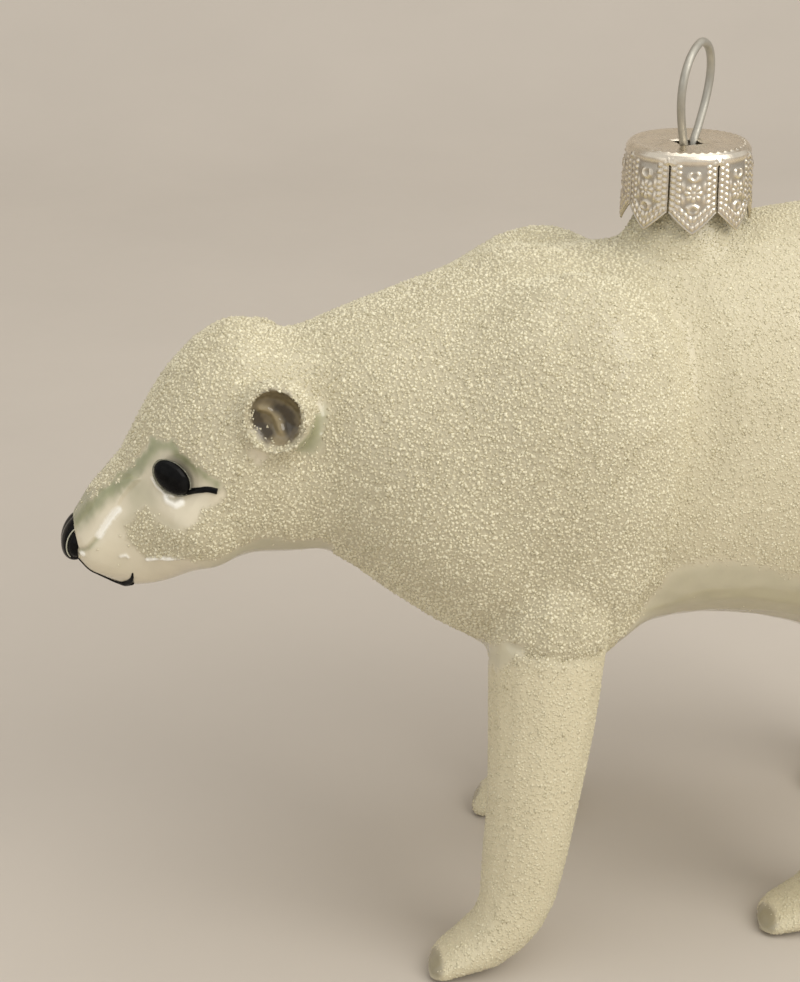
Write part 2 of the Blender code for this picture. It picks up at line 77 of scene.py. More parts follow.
EARS = ("ear_left", "ear_right")
LEGS = ("leg_front_left", "leg_front_right", "leg_hind_left", "leg_hind_right")
PAWS = ("paw_front_left", "paw_front_right", "paw_hind_left", "paw_hind_right")
CRUST_GROUPS = {
    "head": ("muzzle", "head", *EARS),
    "neck": ("neck",),
    "trunk": ("trunk", "spout"),
    "rump": ("rump", "tail"),
    "front_left": ("leg_front_left", "paw_front_left"),
    "front_right": ("leg_front_right", "paw_front_right"),
    "hind_left": ("leg_hind_left", "paw_hind_left"),
    "hind_right": ("leg_hind_right", "paw_hind_right"),
}
FLESH = tuple(node for nodes in CRUST_GROUPS.values() for node in nodes)

PIECE_FACES = 186_000  # most triangles in one piece of the crust
PATCH = 0.0026  # width of a granule's patch on its map, for a granule one unit wide

KEEP_SIZE = (0.5, -0.515)  # weights of one round of smoothing that does not shrink the skin
RELAX = (0.5,)  # weights of one round that only evens the skin out
SHOULDER_ROUNDS = 110  # rounds that blend the neck into the shoulder
DETAIL_ROUNDS = 4  # rounds that even out a finer grid or a colour's edge
FAR_OFF = 9.0  # stands for any distance, in millimetres, at which a mark has no effect
COLLAR = (74.2, 74.8)  # heights in millimetres between which the crust ends under the cap
CRUST_HEIGHTS = (0.25 * MM, 74.6 * MM)  # the lowest and the highest root of a granule
CRUST_LOSS = 0.004  # share of the granules that is missing from full crust
BARE_LOSS = 0.993  # share that bare glass loses as well, so that a few grains stick to it
GRAIN_SIZES = (0.6, 1.5)  # the smallest and the largest granule, over the mean
GRAIN_TILT = 0.16
GRAIN_LIFT = 0.14  # how far a granule stands out of the glaze, over its width
GRAIN_CHIP = 0.12  # how far its corners stray, over its width
EAR_ROOT = 6.0 * MM  # from the middle plane to the inner side of the ears
LEG_ROOT = 9.0 * MM  # from the middle plane to the inner side of the front legs

# Side-view outlines in millimetres, as (x, z) from the middle of the eye.
# The glass that the crust leaves bare: brow, eye, muzzle, jaw and throat.
BARE_BROW = (
    (-9.3, -5.9), (-8.3, -4.6), (-6.6, -2.85), (-5.2, -1.75), (-3.9, -0.5), (-2.8, 0.7),
    (-1.9, 2.0), (-1.4, 3.1), (-0.5, 2.9), (0.5, 3.4), (0.8, 2.7), (1.8, 1.7), (3.1, 1.0),
    (4.3, 0.1),
)
BARE_CHEEK = (
    (4.4, -0.1), (4.8, -1.3), (3.6, -2.3), (2.4, -2.7), (2.2, -3.6), (1.4, -4.3), (0.4, -4.8),
    (-0.9, -4.7), (-1.9, -4.0), (-2.5, -3.2), (-3.3, -4.2), (-4.4, -5.6), (-4.2, -6.9),
    (-3.5, -7.5), (-2.9, -8.4), (0.6, -7.8), (2.0, -8.2), (4.0, -7.9), (6.2, -6.9), (8.0, -6.3),
    (9.4, -6.1), (10.7, -6.9), (12.4, -7.1), (14.2, -6.9), (15.2, -8.2),
)
BARE_FRONT = ((16.0, -21.7), (-11.9, -21.7), (-11.9, -4.1))  # closes the outline before the head
BARE_FACE = (*BARE_BROW, *BARE_CHEEK, *BARE_FRONT)
FINE_FACE = (*BARE_BROW, *BARE_CHEEK[:18], (4.0, -21.7), *BARE_FRONT[1:])  # has a finer mesh
# The pad of glaze beside the nose: its upper edge, then the step down its lower edge.
PANEL_TOP = (
    (-9.2, -6.4), (-8.4, -5.2), (-7.3, -3.7), (-6.3, -2.8), (-5.1, -1.8), (-3.8, -1.1),
    (-2.7, -0.9),
)
PANEL_STEP = (
    (-2.7, -0.9), (-3.8, -2.2), (-4.5, -3.2), (-5.0, -4.1), (-5.8, -5.0), (-6.5, -6.0),
    (-6.9, -6.7), (-7.9, -7.9), (-8.7, -8.4),
)
PANEL = (*PANEL_TOP, *PANEL_STEP[1:])
# Ridges of glaze: along the jaw, beside the mouth and under the eye, each with height and width;
# each also carries a painted highlight.
RIDGES = (
    (((-2.5, -8.6), (-1.5, -8.25), (-0.6, -8.2), (0.5, -7.75)), 0.28, 0.2),
    (((-5.0, -8.65), (-4.5, -8.45), (-4.3, -8.65)), 0.14, 0.14),
    (((-0.6, -2.0), (-0.5, -2.35), (0.2, -2.6), (0.8, -2.3)), 0.26, 0.24),
    (((-1.7, -0.6), (-1.35, -1.25), (-0.7, -1.75), (0.1, -1.95)), 0.14, 0.14),
)
# Edge of the shoulder's blown form behind and below, and the crease under it at the top of the
# leg, as (x, z) from the middle of the trunk.
SHOULDER_EDGE = (
    (-0.7, 21.8), (3.0, 19.8), (6.3, 16.3), (7.5, 13.1), (7.7, 7.9), (7.2, 1.7), (5.9, -5.4),
    (4.4, -9.2), (2.3, -13.8), (0.0, -16.2), (-12.2, -16.2), (-12.2, 21.8),
)
LEG_CREASE = ((-9.8, -14.9), (-5.2, -15.8), (-0.4, -16.5))
# Heights of the shoulder's relief in millimetres: inside its edge, behind it and in the crease.
LEDGE_HEIGHT, LEDGE_SINK, CREASE_DEPTH = 0.65, 0.55, 0.4
SHOULDER_SPAN = ((-26.0, -19.0), (-5.0, 2.0))  # where the soft shoulder starts and ends along x
SHOULDER_RISE = (-5.3, 3.7)  # and where it starts, going up
# The drop under the nose also carries a painted highlight.
DROP = (-8.55, -8.8)  # the bead of glaze under the nose, from the middle of the eye
DROP_HEIGHT = 0.2
SOCKET = (-2.7, -2.2)  # where the glass shows green before the eye
# Bare places beside the ear, as (x, z) from the middle of the ear.
EAR_SLIP = (
    (2.1, -1.6), (2.8, -1.0), (2.9, -0.2), (3.9, -0.4), (4.3, 0.6), (4.7, 0.0), (4.1, -2.0),
    (3.9, -2.8), (3.3, -3.8), (2.0, -3.8), (1.5, -2.6),
)
EAR_SPECK = (-1.8, -3.7)
EAR_HOLLOW = (-0.25, 0.3)
EAR_HOLLOW_RADII = (2.35, 2.95)
# Marks in the ear's hollow, from its middle: a painted highlight along the swirl, and dark places
# beside it, one a crescent of painted shade.
EAR_SWIRL = ((-1.5, 1.0), (-0.9, 0.85), (-0.3, 0.4), (0.1, -0.4), (0.3, -1.2))
EAR_DARK = (
    (((-0.1, 0.8), (0.4, 0.75), (0.85, 0.3), (0.95, -0.4), (0.7, -1.0)), 0.5),
    (((-2.0, 0.3), (-1.7, -0.6), (-1.3, -1.2), (-0.8, -1.6)), 0.45),
)
EAR_LOBE = (-0.1, -2.4)
SWIRL_HEIGHT = 0.45
# The bare spot of a toe: back from the tip, off the paw's middle, over the floor.
TOE_SPOT = (0.6 * MM, 1.2 * MM, 1.3 * MM)
# The edge of the crust along the belly, as (x, z) from the middle of the trunk.
BELLY_EDGE = (
    (2.0, -12.6), (5.4, -9.6), (8.6, -8.6), (12.4, -8.4), (16.2, -9.6), (20.0, -11.2),
    (25.0, -13.0),
)
# The bare place where the front leg meets the chest, from the top front of the leg's box.
CHEST_GAP = (
    (0.2, -8.3), (1.9, -5.7), (3.6, -6.3), (2.4, -7.4), (0.9, -9.5), (0.5, -12.8), (0.0, -12.8),
)


def middle(node):
    """The middle of a node's box."""
    low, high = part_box(node)
    return (low + high) / 2


def side_name(side):
    """The name of a side, where the bear's left is -Y."""
    return "left" if side < 0 else "right"


# ---------------------------------------------------------------- settings


def length(name, description, default):
    """A size that the sidebar shows in scene units."""
    return FloatProperty(
        name=name, description=description, default=default, min=0.0, precision=5, unit="LENGTH"
    )


def colour(name, description, default):
    """A colour that the sidebar shows with a picker."""
    return FloatVectorProperty(
        name=name, description=description, default=default, size=3, min=0.0, max=1.0,
        subtype="COLOR",
    )


def share(name, description, default):
    """A number from nought to one."""
    return FloatProperty(
        name=name, description=description, default=default, min=0.0, max=1.0, subtype="FACTOR"
    )


def number(name, description, default, least=0.0):
    """A plain number."""
    return FloatProperty(name=name, description=description, default=default, min=least)


class BearGlassSettings(bpy.types.PropertyGroup):
    grid: length("Grid", "Spacing of the glass body's mesh", 0.54 * MM)
    swell: length("Swell", "How far the solids grow so that their cuts close", 0.27 * MM)
    depth: length("Crust Depth", "How deep the glass lies under the crust's tips", 0.28 * MM)
    step: length("Panel Step", "Height of the step round the glaze pad beside the nose", 0.3 * MM)
    fair: IntProperty(name="Fairing", description="Rounds of smoothing", default=14, min=0)
    cream: colour("Cream", "Milky glaze of the muzzle and jaw", (0.75, 0.68, 0.515))
    # Pale is the colour of the painted highlights along the pad's step, on the ridges and on the
    # drop.
    pale: colour("Pale", "Thick white glaze along the steps of the face", (0.99, 0.965, 0.87))
    # Green also paints the thin shadow under the pad's step and, in part, the shadow of the
    # crust's edge behind the eye.
    green: colour("Green", "Bare glass near the edge of the crust", (0.33, 0.345, 0.19))
    # The glaze under the crust is darker than the granules: painted shade in the gaps between
    # them.
    under: colour("Under Crust", "Glaze that holds the granules", (0.62, 0.56, 0.39))
    hollow: colour("Ear Hollow", "Dark glass inside the ears", (0.05, 0.035, 0.014))
    # The ear's swirl colour: light brown glass in the lobe, and a painted highlight along the
    # swirl.
    amber_and_highlight: colour("Ear Swirl", "Light glass inside the ears", (0.36, 0.29, 0.16))


class BearCrustSettings(bpy.types.PropertyGroup):
    spacing: length("Spacing", "Mean distance from granule to granule on the rump", 0.282 * MM)
    coarse: share("Coarser Head", "How much wider the granules of the head are", 0.08)
    cover: number("Cover", "Granule width over spacing", 1.2, 0.5)
    seed: IntProperty(name="Seed", description="Starts the scatter of the granules", default=7)
    light: colour("Light Granule", "Palest granules", (0.95, 0.895, 0.68))
    dark: colour("Dark Granule", "Most shaded granules", (0.62, 0.56, 0.38))


class BearEnamelSettings(bpy.types.PropertyGroup):
    eye_length: length("Eye Length", "Half the eye's long axis", 2.0 * MM)
    eye_height: length("Eye Height", "Half the eye's short axis", 1.45 * MM)
    eye_dome: length("Eye Dome", "How far the eye bulges", 0.95 * MM)
    line: length("Line", "Half the width of the painted lines", 0.3 * MM)
    black: colour("Black", "Black enamel", (0.0025, 0.0025, 0.0025))


class BearCapSettings(bpy.types.PropertyGroup):
    petals: IntProperty(name="Petals", description="Petals of the crown cap", default=8, min=4)
    relief: length("Relief", "Height of the stamped ornament", 0.2 * MM)
    sheet: length("Sheet", "Thickness of the stamped metal", 0.18 * MM)
    wire: length("Wire", "Radius of the hanger's wire", 0.4 * MM)
    silver: colour("Silver", "Bright metal of the cap", (0.84, 0.765, 0.64))
    tarnish: colour("Tarnish", "Dull metal in the hollows of the ornament", (0.36, 0.33, 0.28))
    steel: colour("Steel", "Wire of the hanger", (0.52, 0.50, 0.44))


class BearStageSettings(bpy.types.PropertyGroup):
    floor: colour("Floor", "Pale paper of the floor and backdrop", (0.605, 0.555, 0.492))
    key: number("Key", "Power of the main soft light", 1.72)
    top: number("Top", "Power of the light overhead", 1.0)
    fill: number("Fill", "Power of the light on the left", 0.14)
    ambient: number("Ambient", "Light of the room", 0.72)
    tint: colour("Light Tint", "Colour of the lights", (1.0, 0.965, 0.91))
    room: colour("Room Tint", "Colour of the light of the room", (0.995, 0.975, 0.945))


# ---------------------------------------------------------------- small tools


def placed(name, data):
    """A new object in the scene."""
    item = bpy.data.objects.new(name, data)
    bpy.context.scene.collection.objects.link(item)
    return item


def add_piece(name, mesh, material, nodes=()):
    """Put a finished mesh in the scene, on the bear's one body."""
    mesh.name = name
    mesh.materials.clear()
    mesh.materials.append(material)
    piece = placed(name, mesh)
    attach(piece, "root")
    if nodes:
        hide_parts(*nodes)


def mesh_from(bm, name):
    """Turn a bmesh into a smooth-shaded mesh and free it."""
    for face in bm.faces:
        face.smooth = True
    mesh = bpy.data.meshes.new(name)
    bm.to_mesh(mesh)
    bm.free()
    return mesh


def taken_mesh(helper):
    """The mesh that a helper object shows; the helper goes."""
    graph = bpy.context.evaluated_depsgraph_get()
    mesh = bpy.data.meshes.new_from_object(helper.evaluated_get(graph))
    bpy.data.objects.remove(helper)
    return mesh


def applied(mesh, name, kind, **settings):
    """A new mesh with one modifier applied."""
    helper = placed("helper", mesh)
    modifier = helper.modifiers.new(kind, kind)
    for key, value in settings.items():
        setattr(modifier, key, value)
    result = taken_mesh(helper)
    bpy.data.meshes.remove(mesh)
    result.name = name
    return result


def vertex_arrays(mesh):
    """Places and normals of a mesh's vertices."""
    places = np.empty(len(mesh.vertices) * 3, dtype=np.float32)
    normals = np.empty_like(places)
    mesh.vertices.foreach_get("co", places)
    mesh.vertex_normals.foreach_get("vector", normals)
    return places.reshape(-1, 3).astype(float), normals.reshape(-1, 3).astype(float)


def turn_and_move(bm, turn, place):
    """Turn a shape about the origin, then move it to its place."""
    bmesh.ops.rotate(bm, cent=(0, 0, 0), matrix=turn, verts=bm.verts)
    bmesh.ops.translate(bm, vec=place, verts=bm.verts)


def set_places(mesh, places):
    """Write vertex places back to a mesh."""
    mesh.vertices.foreach_set("co", places.astype(np.float32).ravel())
    mesh.update()


def set_values(mesh, name, values):
    """Store one number for each vertex, which a material can read."""
    layer = mesh.attributes.new(name, "FLOAT", "POINT")
    layer.data.foreach_set("value", values.astype(np.float32))


def get_values(mesh, name):
    """Read one number for each vertex."""
    values = np.empty(len(mesh.vertices), dtype=np.float32)
    mesh.attributes[name].data.foreach_get("value", values)
    return values.astype(float)


def ramp(values, start, end):
    """A soft step from 0 at start to 1 at end."""
    part = np.clip((values - start) / (end - start), 0.0, 1.0)
    return part * part * (3.0 - 2.0 * part)


def fall(values, start, end):
    """A soft step from 1 at start to 0 at end."""
    return 1.0 - ramp(values, start, end)


def plateau(values, rise, drop):
    """Soft steps up and down again, each from its start to its end."""
    return ramp(values, *rise) * fall(values, *drop)


def bell(values, width):
    """1 at nought, falling away softly on both sides."""
    return np.exp(-((values / width) ** 2))


def lengths(vectors):
    """Length of every vector."""
    return np.linalg.norm(vectors, axis=1)


def units(vectors):
    """Every vector cut to a length of 1."""
    return vectors / lengths(vectors)[:, None]


def side_view(places, node):
    """Places as x and z in millimetres from the middle of a node's box."""
    centre = middle(node)
    return np.column_stack((places[:, 0] - centre.x, places[:, 2] - centre.z)) / MM


def beyond(places, distance):
    """Whether each place lies further than a distance from the middle plane."""
    return np.abs(places[:, 1]) > distance


def wobble(places, period, phase=0.0):
    """A smooth ripple from -1 to 1 that repeats nowhere on the bear."""
    x, y, z = (places * (2.0 * math.pi / period)).T
    first = np.sin(x + 1.7 * np.sin(0.61 * z + phase)) * np.sin(0.83 * z + 1.3 * np.sin(0.7 * y))
    second = np.sin(1.9 * z + 0.9 * y + phase) * np.sin(2.3 * x - 1.1 * y + 2.0)
    return 0.6 * first + 0.4 * second


def outline_distance(flat, outline):
    """Signed distance from flat points to a closed outline, negative inside."""
    outline = np.asarray(outline, dtype=float)
    nearest = np.full(len(flat), np.inf)
    inside = np.zeros(len(flat), dtype=bool)
    for start, end in zip(outline, np.roll(outline, -1, axis=0)):
        nearest = np.minimum(nearest, segment_distance(flat, start, end))
        crosses = (start[1] > flat[:, 1]) != (end[1] > flat[:, 1])
        if start[1] != end[1]:
            slope = (end[0] - start[0]) / (end[1] - start[1])
            inside ^= crosses & (flat[:, 0] < start[0] + (flat[:, 1] - start[1]) * slope)
    return np.where(inside, -nearest, nearest)


def segment_distance(places, start, end):
    """Distance from places to a straight stretch."""
    along = end - start
    part = np.clip((places - start) @ along / (along @ along), 0.0, 1.0)
    return lengths(places - start - part[:, None] * along)


def path_distance(places, path):
    """Distance from places to an open path."""
    path = np.asarray(path, dtype=float)
    stretches = [segment_distance(places, a, b) for a, b in zip(path[:-1], path[1:])]
    return np.min(stretches, axis=0)


def near_path(places, path, width):
    """A soft ridge, 1 along a path and falling away on both sides."""
    return bell(path_distance(places, path), width)


def near_ears(places, start, end):
    """1 round the ears, falling to 0 between two distances from them."""
    ears = [lengths(places - middle(name)) for name in EARS]
    return fall(np.minimum(*ears), start, end)


# ---------------------------------------------------------------- the glass body


def flesh_copy(node, swell):
    """A merged copy of one solid, grown so that it meets its neighbours."""
    bm = bmesh.new()
    bm.from_mesh(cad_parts[node].data)
    bmesh.ops.remove_doubles(bm, verts=bm.verts, dist=0.002 * MM)
    bm.normal_update()
    grown = [vert.co + vert.normal * swell for vert in bm.verts]
    for vert, place in zip(bm.verts, grown):
        vert.co = place
    return mesh_from(bm, node + "_copy")


def fused_flesh(settings):
    """All the solids of the glass body as one even skin."""
    bm = bmesh.new()
    for node in FLESH:
        copy = flesh_copy(node, settings.swell)
        bm.from_mesh(copy)
        bpy.data.meshes.remove(copy)
    mesh = mesh_from(bm, "flesh")
    return applied(
        mesh, "glass_skin", "REMESH", mode="VOXEL", voxel_size=settings.grid, use_smooth_shade=True
    )


def faired(places, edges, rounds, firmness, weights):
    """Values of a skin's places, moved towards or away from their neighbours' in rounds."""
    first, second = edges.T
    count = np.bincount(edges.ravel(), minlength=len(places))[:, None]
    for _ in range(rounds):
        for weight in weights:
            total = np.zeros_like(places)
            for axis in range(places.shape[1]):
                total[:, axis] += np.bincount(first, places[second, axis], len(places))
                total[:, axis] += np.bincount(second, places[first, axis], len(places))
            places = places + weight * firmness * (total / count - places)
    return places


def relax(mesh, rounds, firmness, weights=KEEP_SIZE):
    """Smooth a skin, as firmly at each place as its share says."""
    places, _ = vertex_arrays(mesh)
    set_places(mesh, faired(places, edge_pairs(mesh), rounds, firmness[:, None], weights))


def shoulder_share(places, normals):
    """The sides of the neck and shoulder, where the blown forms run softly into each other."""
    x, z = side_view(places, "trunk").T
    return plateau(x, *SHOULDER_SPAN) * ramp(z, *SHOULDER_RISE) * fall(normals[:, 2], 0.86, 0.98)


def ledge_lift(places):
    """Relief of the shoulder's blown form, which stands over the flank and the top of the leg."""
    flat = side_view(places, "trunk")
    gap = outline_distance(flat, SHOULDER_EDGE)
    inside = LEDGE_HEIGHT * fall(gap, -1.8, 0.25)
    behind = plateau(gap, (-0.6, 0.4), (1.5, 5.0)) * ramp(flat[:, 1], -17.0, -13.0)
    stand = (inside - LEDGE_SINK * behind) * ramp(flat[:, 0], -5.0, 1.0)
    crease = CREASE_DEPTH * near_path(flat, LEG_CREASE, 0.45)
    return (stand - crease) * ramp(np.abs(places[:, 1]) / MM, 4.0, 9.0) * MM


def hollow_share(places, normals):
    """How far a place lies inside the ear's hollow."""
    low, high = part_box("ear_left")
    flat = (side_view(places, "ear_left") - EAR_HOLLOW) / EAR_HOLLOW_RADII
    rim = lengths(flat) + 0.05 * wobble(places, 1.1 * MM)
    outward = normals[:, 1] * np.sign(places[:, 1])
    beside = beyond(places, min(abs(low.y), abs(high.y)))
    return fall(rim, 0.9, 1.04) * ramp(outward, 0.0, 0.2) * beside


def hollow_tone(places):
    """Tone of the ear's hollow: 0 is dark, 1 is the painted highlight of the swirl, and the rest
    is brown; a crescent beside the swirl is painted shade.
    """
    flat = side_view(places, "ear_left")
    tone = 0.36 + 0.14 * wobble(places, 1.6 * MM, 3.0)
    # A painted highlight along the swirl's ridge.
    tone += 0.75 * near_path(flat, EAR_SWIRL, 0.42)
    tone += 0.4 * fall(lengths(flat - EAR_LOBE), 0.5, 1.3)
    # Darker places: a crescent of painted shade beside the swirl, and a dark patch at the lower
    # left.
    for path, width in EAR_DARK:
        tone -= 0.6 * near_path(flat, path, width)
    return np.clip(tone, 0.0, 1.0)


def bare_share(places, normals):
    """How bare of crust the glass is, from 0 under full crust to 1."""
    ragged = 0.2 * wobble(places, 1.9 * MM) + 0.14 * wobble(places, 0.8 * MM, 1.0)
    head = side_view(places, "eye_left")
    ear = side_view(places, "ear_left")
    face = outline_distance(head, BARE_FACE) + ragged
    outside = beyond(places, EAR_ROOT)
    slip = np.where(outside, outline_distance(ear, EAR_SLIP) - 0.25 + ragged, FAR_OFF)
    speck = np.where(outside, lengths(ear - EAR_SPECK) - 0.8 + ragged, FAR_OFF)
    bare = fall(np.minimum(np.minimum(face, slip), speck), -0.2, 0.2)
    others = (
        hollow_share(places, normals) * (1.0 - 0.45 * sprinkle_share(ear)),
        belly_share(places, normals, ragged),
        gap_share(places, ragged),
        ramp(places[:, 2] / MM, *COLLAR),
        toe_share(places, ragged),
    )
    return np.maximum.reduce([bare, *others])


def sprinkle_share(ear):
    """The lower front rim of the ear's hollow, where loose granules stick."""
    flat = (ear - EAR_HOLLOW) / EAR_HOLLOW_RADII
    rim = ramp(lengths(flat), 0.55, 0.95)
    return rim * ramp(-flat[:, 0] - 0.7 * flat[:, 1], 0.3, 0.8)


def gap_share(places, ragged):
    """The bare place at the root of each front leg."""
    bare = np.zeros(len(places))
    for side, node in zip(SIDES, LEGS):
        low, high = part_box(node)
        flat = np.column_stack((places[:, 0] - low.x, places[:, 2] - high.z)) / MM
        beside = places[:, 1] * side > LEG_ROOT
        gap = outline_distance(flat, CHEST_GAP) + ragged
        bare = np.maximum(bare, fall(gap, -0.2, 0.3) * beside)
    return bare


def belly_share(places, normals, ragged):
    """The bare band along the belly, and the underside between the legs."""
    flat = side_view(places, "trunk")
    edge = np.interp(flat[:, 0], *zip(*BELLY_EDGE), left=-30.0, right=-30.0)
    side = fall(flat[:, 1] - edge + 1.4 * ragged, -0.7, 0.9)
    side *= ramp(outline_distance(flat, SHOULDER_EDGE) + ragged, 1.5, 2.0)
    on_trunk = places[:, 2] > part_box("trunk")[0].z - 1.0 * MM
    under = fall(normals[:, 2], -0.92, -0.8) * on_trunk
    return np.maximum(side * on_trunk * between_legs(places), under)


def between_legs(places):
    """1 on the trunk, 0 on the legs that hang beside it."""
    keep = np.ones(len(places))
    x, y, z = places.T
    for node in LEGS:
        low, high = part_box(node)
        within = (x > low.x) & (x < high.x) & (y > low.y) & (y < high.y)
        keep[within & (z < high.z - 6.0 * MM)] = 0.0
    return keep


def toe_share(places, ragged):
    """Bare glass at the tip of each toe and under each sole."""
    bare = fall(places[:, 2], 0.3 * MM, 0.6 * MM)
    back, aside, up = TOE_SPOT
    for node in PAWS:
        low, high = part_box(node)
        side = math.copysign(1.0, low.y + high.y)
        toe = Vector((low.x + back, (low.y + high.y) / 2 + side * aside, up))
        far = lengths((places - toe) / MM * (1.0, 0.62, 1.0)) + 2.2 * ragged
        bare = np.maximum(bare, fall(far, 1.3, 1.9))
    return bare


def green_share(places, bare):
    """How green and thin the bare glass looks: most along the brow, throat and belly, with a line
    of painted shadow under the pad's step and a band partly of painted shadow behind the eye.
    """
    flat = side_view(places, "eye_left")
    ragged = 0.3 * wobble(places, 1.7 * MM, 2.0)
    brow = fall(path_distance(flat, BARE_BROW) + ragged, 0.45, 1.35)
    # Behind the eye the green runs on as a narrow band, partly painted shadow of the crust's edge.
    corner = fall(path_distance(flat, BARE_BROW[-4:]) + ragged, 0.4, 1.0)
    muzzle = fall(flat[:, 0], 2.0, 5.5)
    throat = ramp(flat[:, 0], 0.5, 6.0) * fall(flat[:, 1], -5.0, -4.0) * 0.42
    # A thin line of painted shadow under the lower end of the pad's step.
    crease = 0.7 * near_path(flat + (0.0, 0.14), PANEL_STEP[5:], 0.2)
    socket = 0.35 * fall(lengths(flat - SOCKET), 0.8, 2.2)
    cheek = 0.3 * near_path(flat, BARE_CHEEK[6:12], 0.7)
    green = np.maximum.reduce([brow * muzzle * 0.95, corner, throat, crease, socket, cheek])
    slip = outline_distance(side_view(places, "ear_left"), EAR_SLIP)
    slip = np.where(beyond(places, EAR_ROOT), slip, FAR_OFF)
    green = np.maximum(green, 0.9 * fall(slip, 0.3, 0.8))
    front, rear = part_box("neck")
    body = ramp(places[:, 0], front.x + 8.0 * MM, rear.x)
    green = green * (1.0 - body) + 0.34 * body
    green += 0.1 * wobble(places, 3.1 * MM, 2.0)
    return np.clip(green, 0.0, 1.0) * bare


def sculpt_face(places, normals, settings):
    """Raise the pad beside the nose, the ridges of glaze round the face and the ear's swirl."""
    flat = side_view(places, "eye_left")
    face = fall(flat[:, 0], 3.0, 6.0)
    pad = fall(outline_distance(flat, PANEL), -0.16, 0.1)
    pad *= fall(path_distance(flat, PANEL_STEP), 0.9, 3.4)
    lift = pad * settings.step / MM
    for path, height, width in RIDGES:
        lift = lift + height * near_path(flat, path, width)
    lift = lift + DROP_HEIGHT * bell(lengths(flat - DROP), 0.28)
    swirl = near_path(side_view(places, "ear_left"), EAR_SWIRL, 0.4)
    lift = lift * face + SWIRL_HEIGHT * (swirl * hollow_share(places, normals))
    return places + normals * (lift * MM)[:, None]


def refined(mesh, chosen):
    """A mesh whose chosen places have twice as fine a grid."""
    bm = bmesh.new()
    bm.from_mesh(mesh)
    edges = [edge for edge in bm.edges if all(chosen[vert.index] for vert in edge.verts)]
    bmesh.ops.subdivide_edges(bm, edges=edges, cuts=1, use_grid_fill=True)
    bmesh.ops.triangulate(bm, faces=[face for face in bm.faces if len(face.verts) > 4])
    name = mesh.name
    bpy.data.meshes.remove(mesh)
    return mesh_from(bm, name)


def edge_pairs(mesh):
    """The two ends of every edge."""
    edges = np.empty(len(mesh.edges) * 2, dtype=np.int32)
    mesh.edges.foreach_get("vertices", edges)
    return edges.reshape(-1, 2)


def face_places(mesh):
    """The places where the glass is bare on the face and in the ears."""
    places, normals = vertex_arrays(mesh)
    face = outline_distance(side_view(places, "eye_left"), FINE_FACE) < 0.6
    return face | (hollow_share(places, normals) > 0.02)


def detail_places(mesh):
    """The places that carry the finest relief: the pad's step, the ridges and the ear's swirl."""
    places, normals = vertex_arrays(mesh)
    flat = side_view(places, "eye_left")
    paths = (PANEL_STEP, *(path for path, _, _ in RIDGES))
    far = [path_distance(flat, path) for path in paths]
    near = np.minimum.reduce([*far, lengths(flat - DROP)]) < 0.55
    return near | (hollow_share(places, normals) > 0.05)


def painted_highlight_share(places):
    """Painted highlights in pale colour: along the pad's step, on the ridges and on the drop under
    the nose.
    """
    flat = side_view(places, "eye_left")
    streak = near_path(flat, PANEL_STEP[3:7], 0.27)
    pale = streak * (2.0 + 1.2 * wobble(places, 1.1 * MM, 1.5))
    for path, height, width in RIDGES:
        pale = np.maximum(pale, height / 0.17 * near_path(flat, path, width))
    pale = np.maximum(pale, fall(lengths(flat - DROP), 0.15, 0.35))
    return np.clip(pale + 0.1 * wobble(places, 0.9 * MM), 0.0, 1.0) * (pale > 0.15)


def make_skin(settings):
    """The glass body: one skin from nose to tail, under the crust."""
    mesh = fused_flesh(settings)
    places, _ = vertex_arrays(mesh)
    relax(mesh, settings.fair, 1.0 - 0.75 * near_ears(places, 4.0 * MM, 8.0 * MM))
    relax(mesh, SHOULDER_ROUNDS, shoulder_share(*vertex_arrays(mesh)), RELAX)
    places, normals = vertex_arrays(mesh)
    places = places + normals * ledge_lift(places)[:, None]
    sunk = settings.swell + settings.depth * (1.0 - 0.2 * near_ears(places, 4.0 * MM, 6.0 * MM))
    places = places - normals * sunk[:, None]
    places[:, 2] = np.maximum(places[:, 2], 0.0)
    set_places(mesh, places)
    for choose in (face_places, detail_places):
        mesh = refined(mesh, choose(mesh))
        relax(mesh, DETAIL_ROUNDS, choose(mesh).astype(float))
    places, normals = vertex_arrays(mesh)
    set_places(mesh, sculpt_face(places, normals, settings))
    places, normals = vertex_arrays(mesh)
    bare = bare_share(places, normals)
    green = green_share(places, bare)[:, None]
    smoky = 0.6 * toe_share(places, 0.0) * ramp(places[:, 2], 0.5 * MM, 1.2 * MM)
    shares = {
        "bare": bare,
        "calm": calmness(places),
        # green also holds painted shadow under the pad's step and behind the eye.
        "green": faired(green, edge_pairs(mesh), DETAIL_ROUNDS, 1.0, RELAX)[:, 0],
        # pale holds the painted highlights.
        "pale": painted_highlight_share(places),
        "hollow": np.maximum(hollow_share(places, normals), smoky),
        # hollow_tone holds the painted highlight and shade of the ear's hollow.
        "hollow_tone": hollow_tone(places),
    }
    for name, values in shares.items():
        set_values(mesh, name, values)
    add_piece("glass_skin", mesh, glaze(settings), (*FLESH, "spout"))


# ---------------------------------------------------------------- the crust of glass granules


def granule_template():
    """One chipped granule: the corners of a low three-sided chip and its faces."""
    bm = bmesh.new()
    bmesh.ops.create_cone(bm, cap_ends=True, segments=3, radius1=0.66, radius2=0.0, depth=0.56)
    base = [face for face in bm.faces if face.normal.z < -0.9]
    bmesh.ops.poke(bm, faces=base, offset=0.1)
    bmesh.ops.remove_doubles(bm, verts=bm.verts, dist=0.001)
    bmesh.ops.recalc_face_normals(bm, faces=bm.faces)
    corners = np.array([vert.co[:] for vert in bm.verts])
    faces = np.array([[vert.index for vert in face.verts] for face in bm.faces])
    bm.free()
    return corners, faces


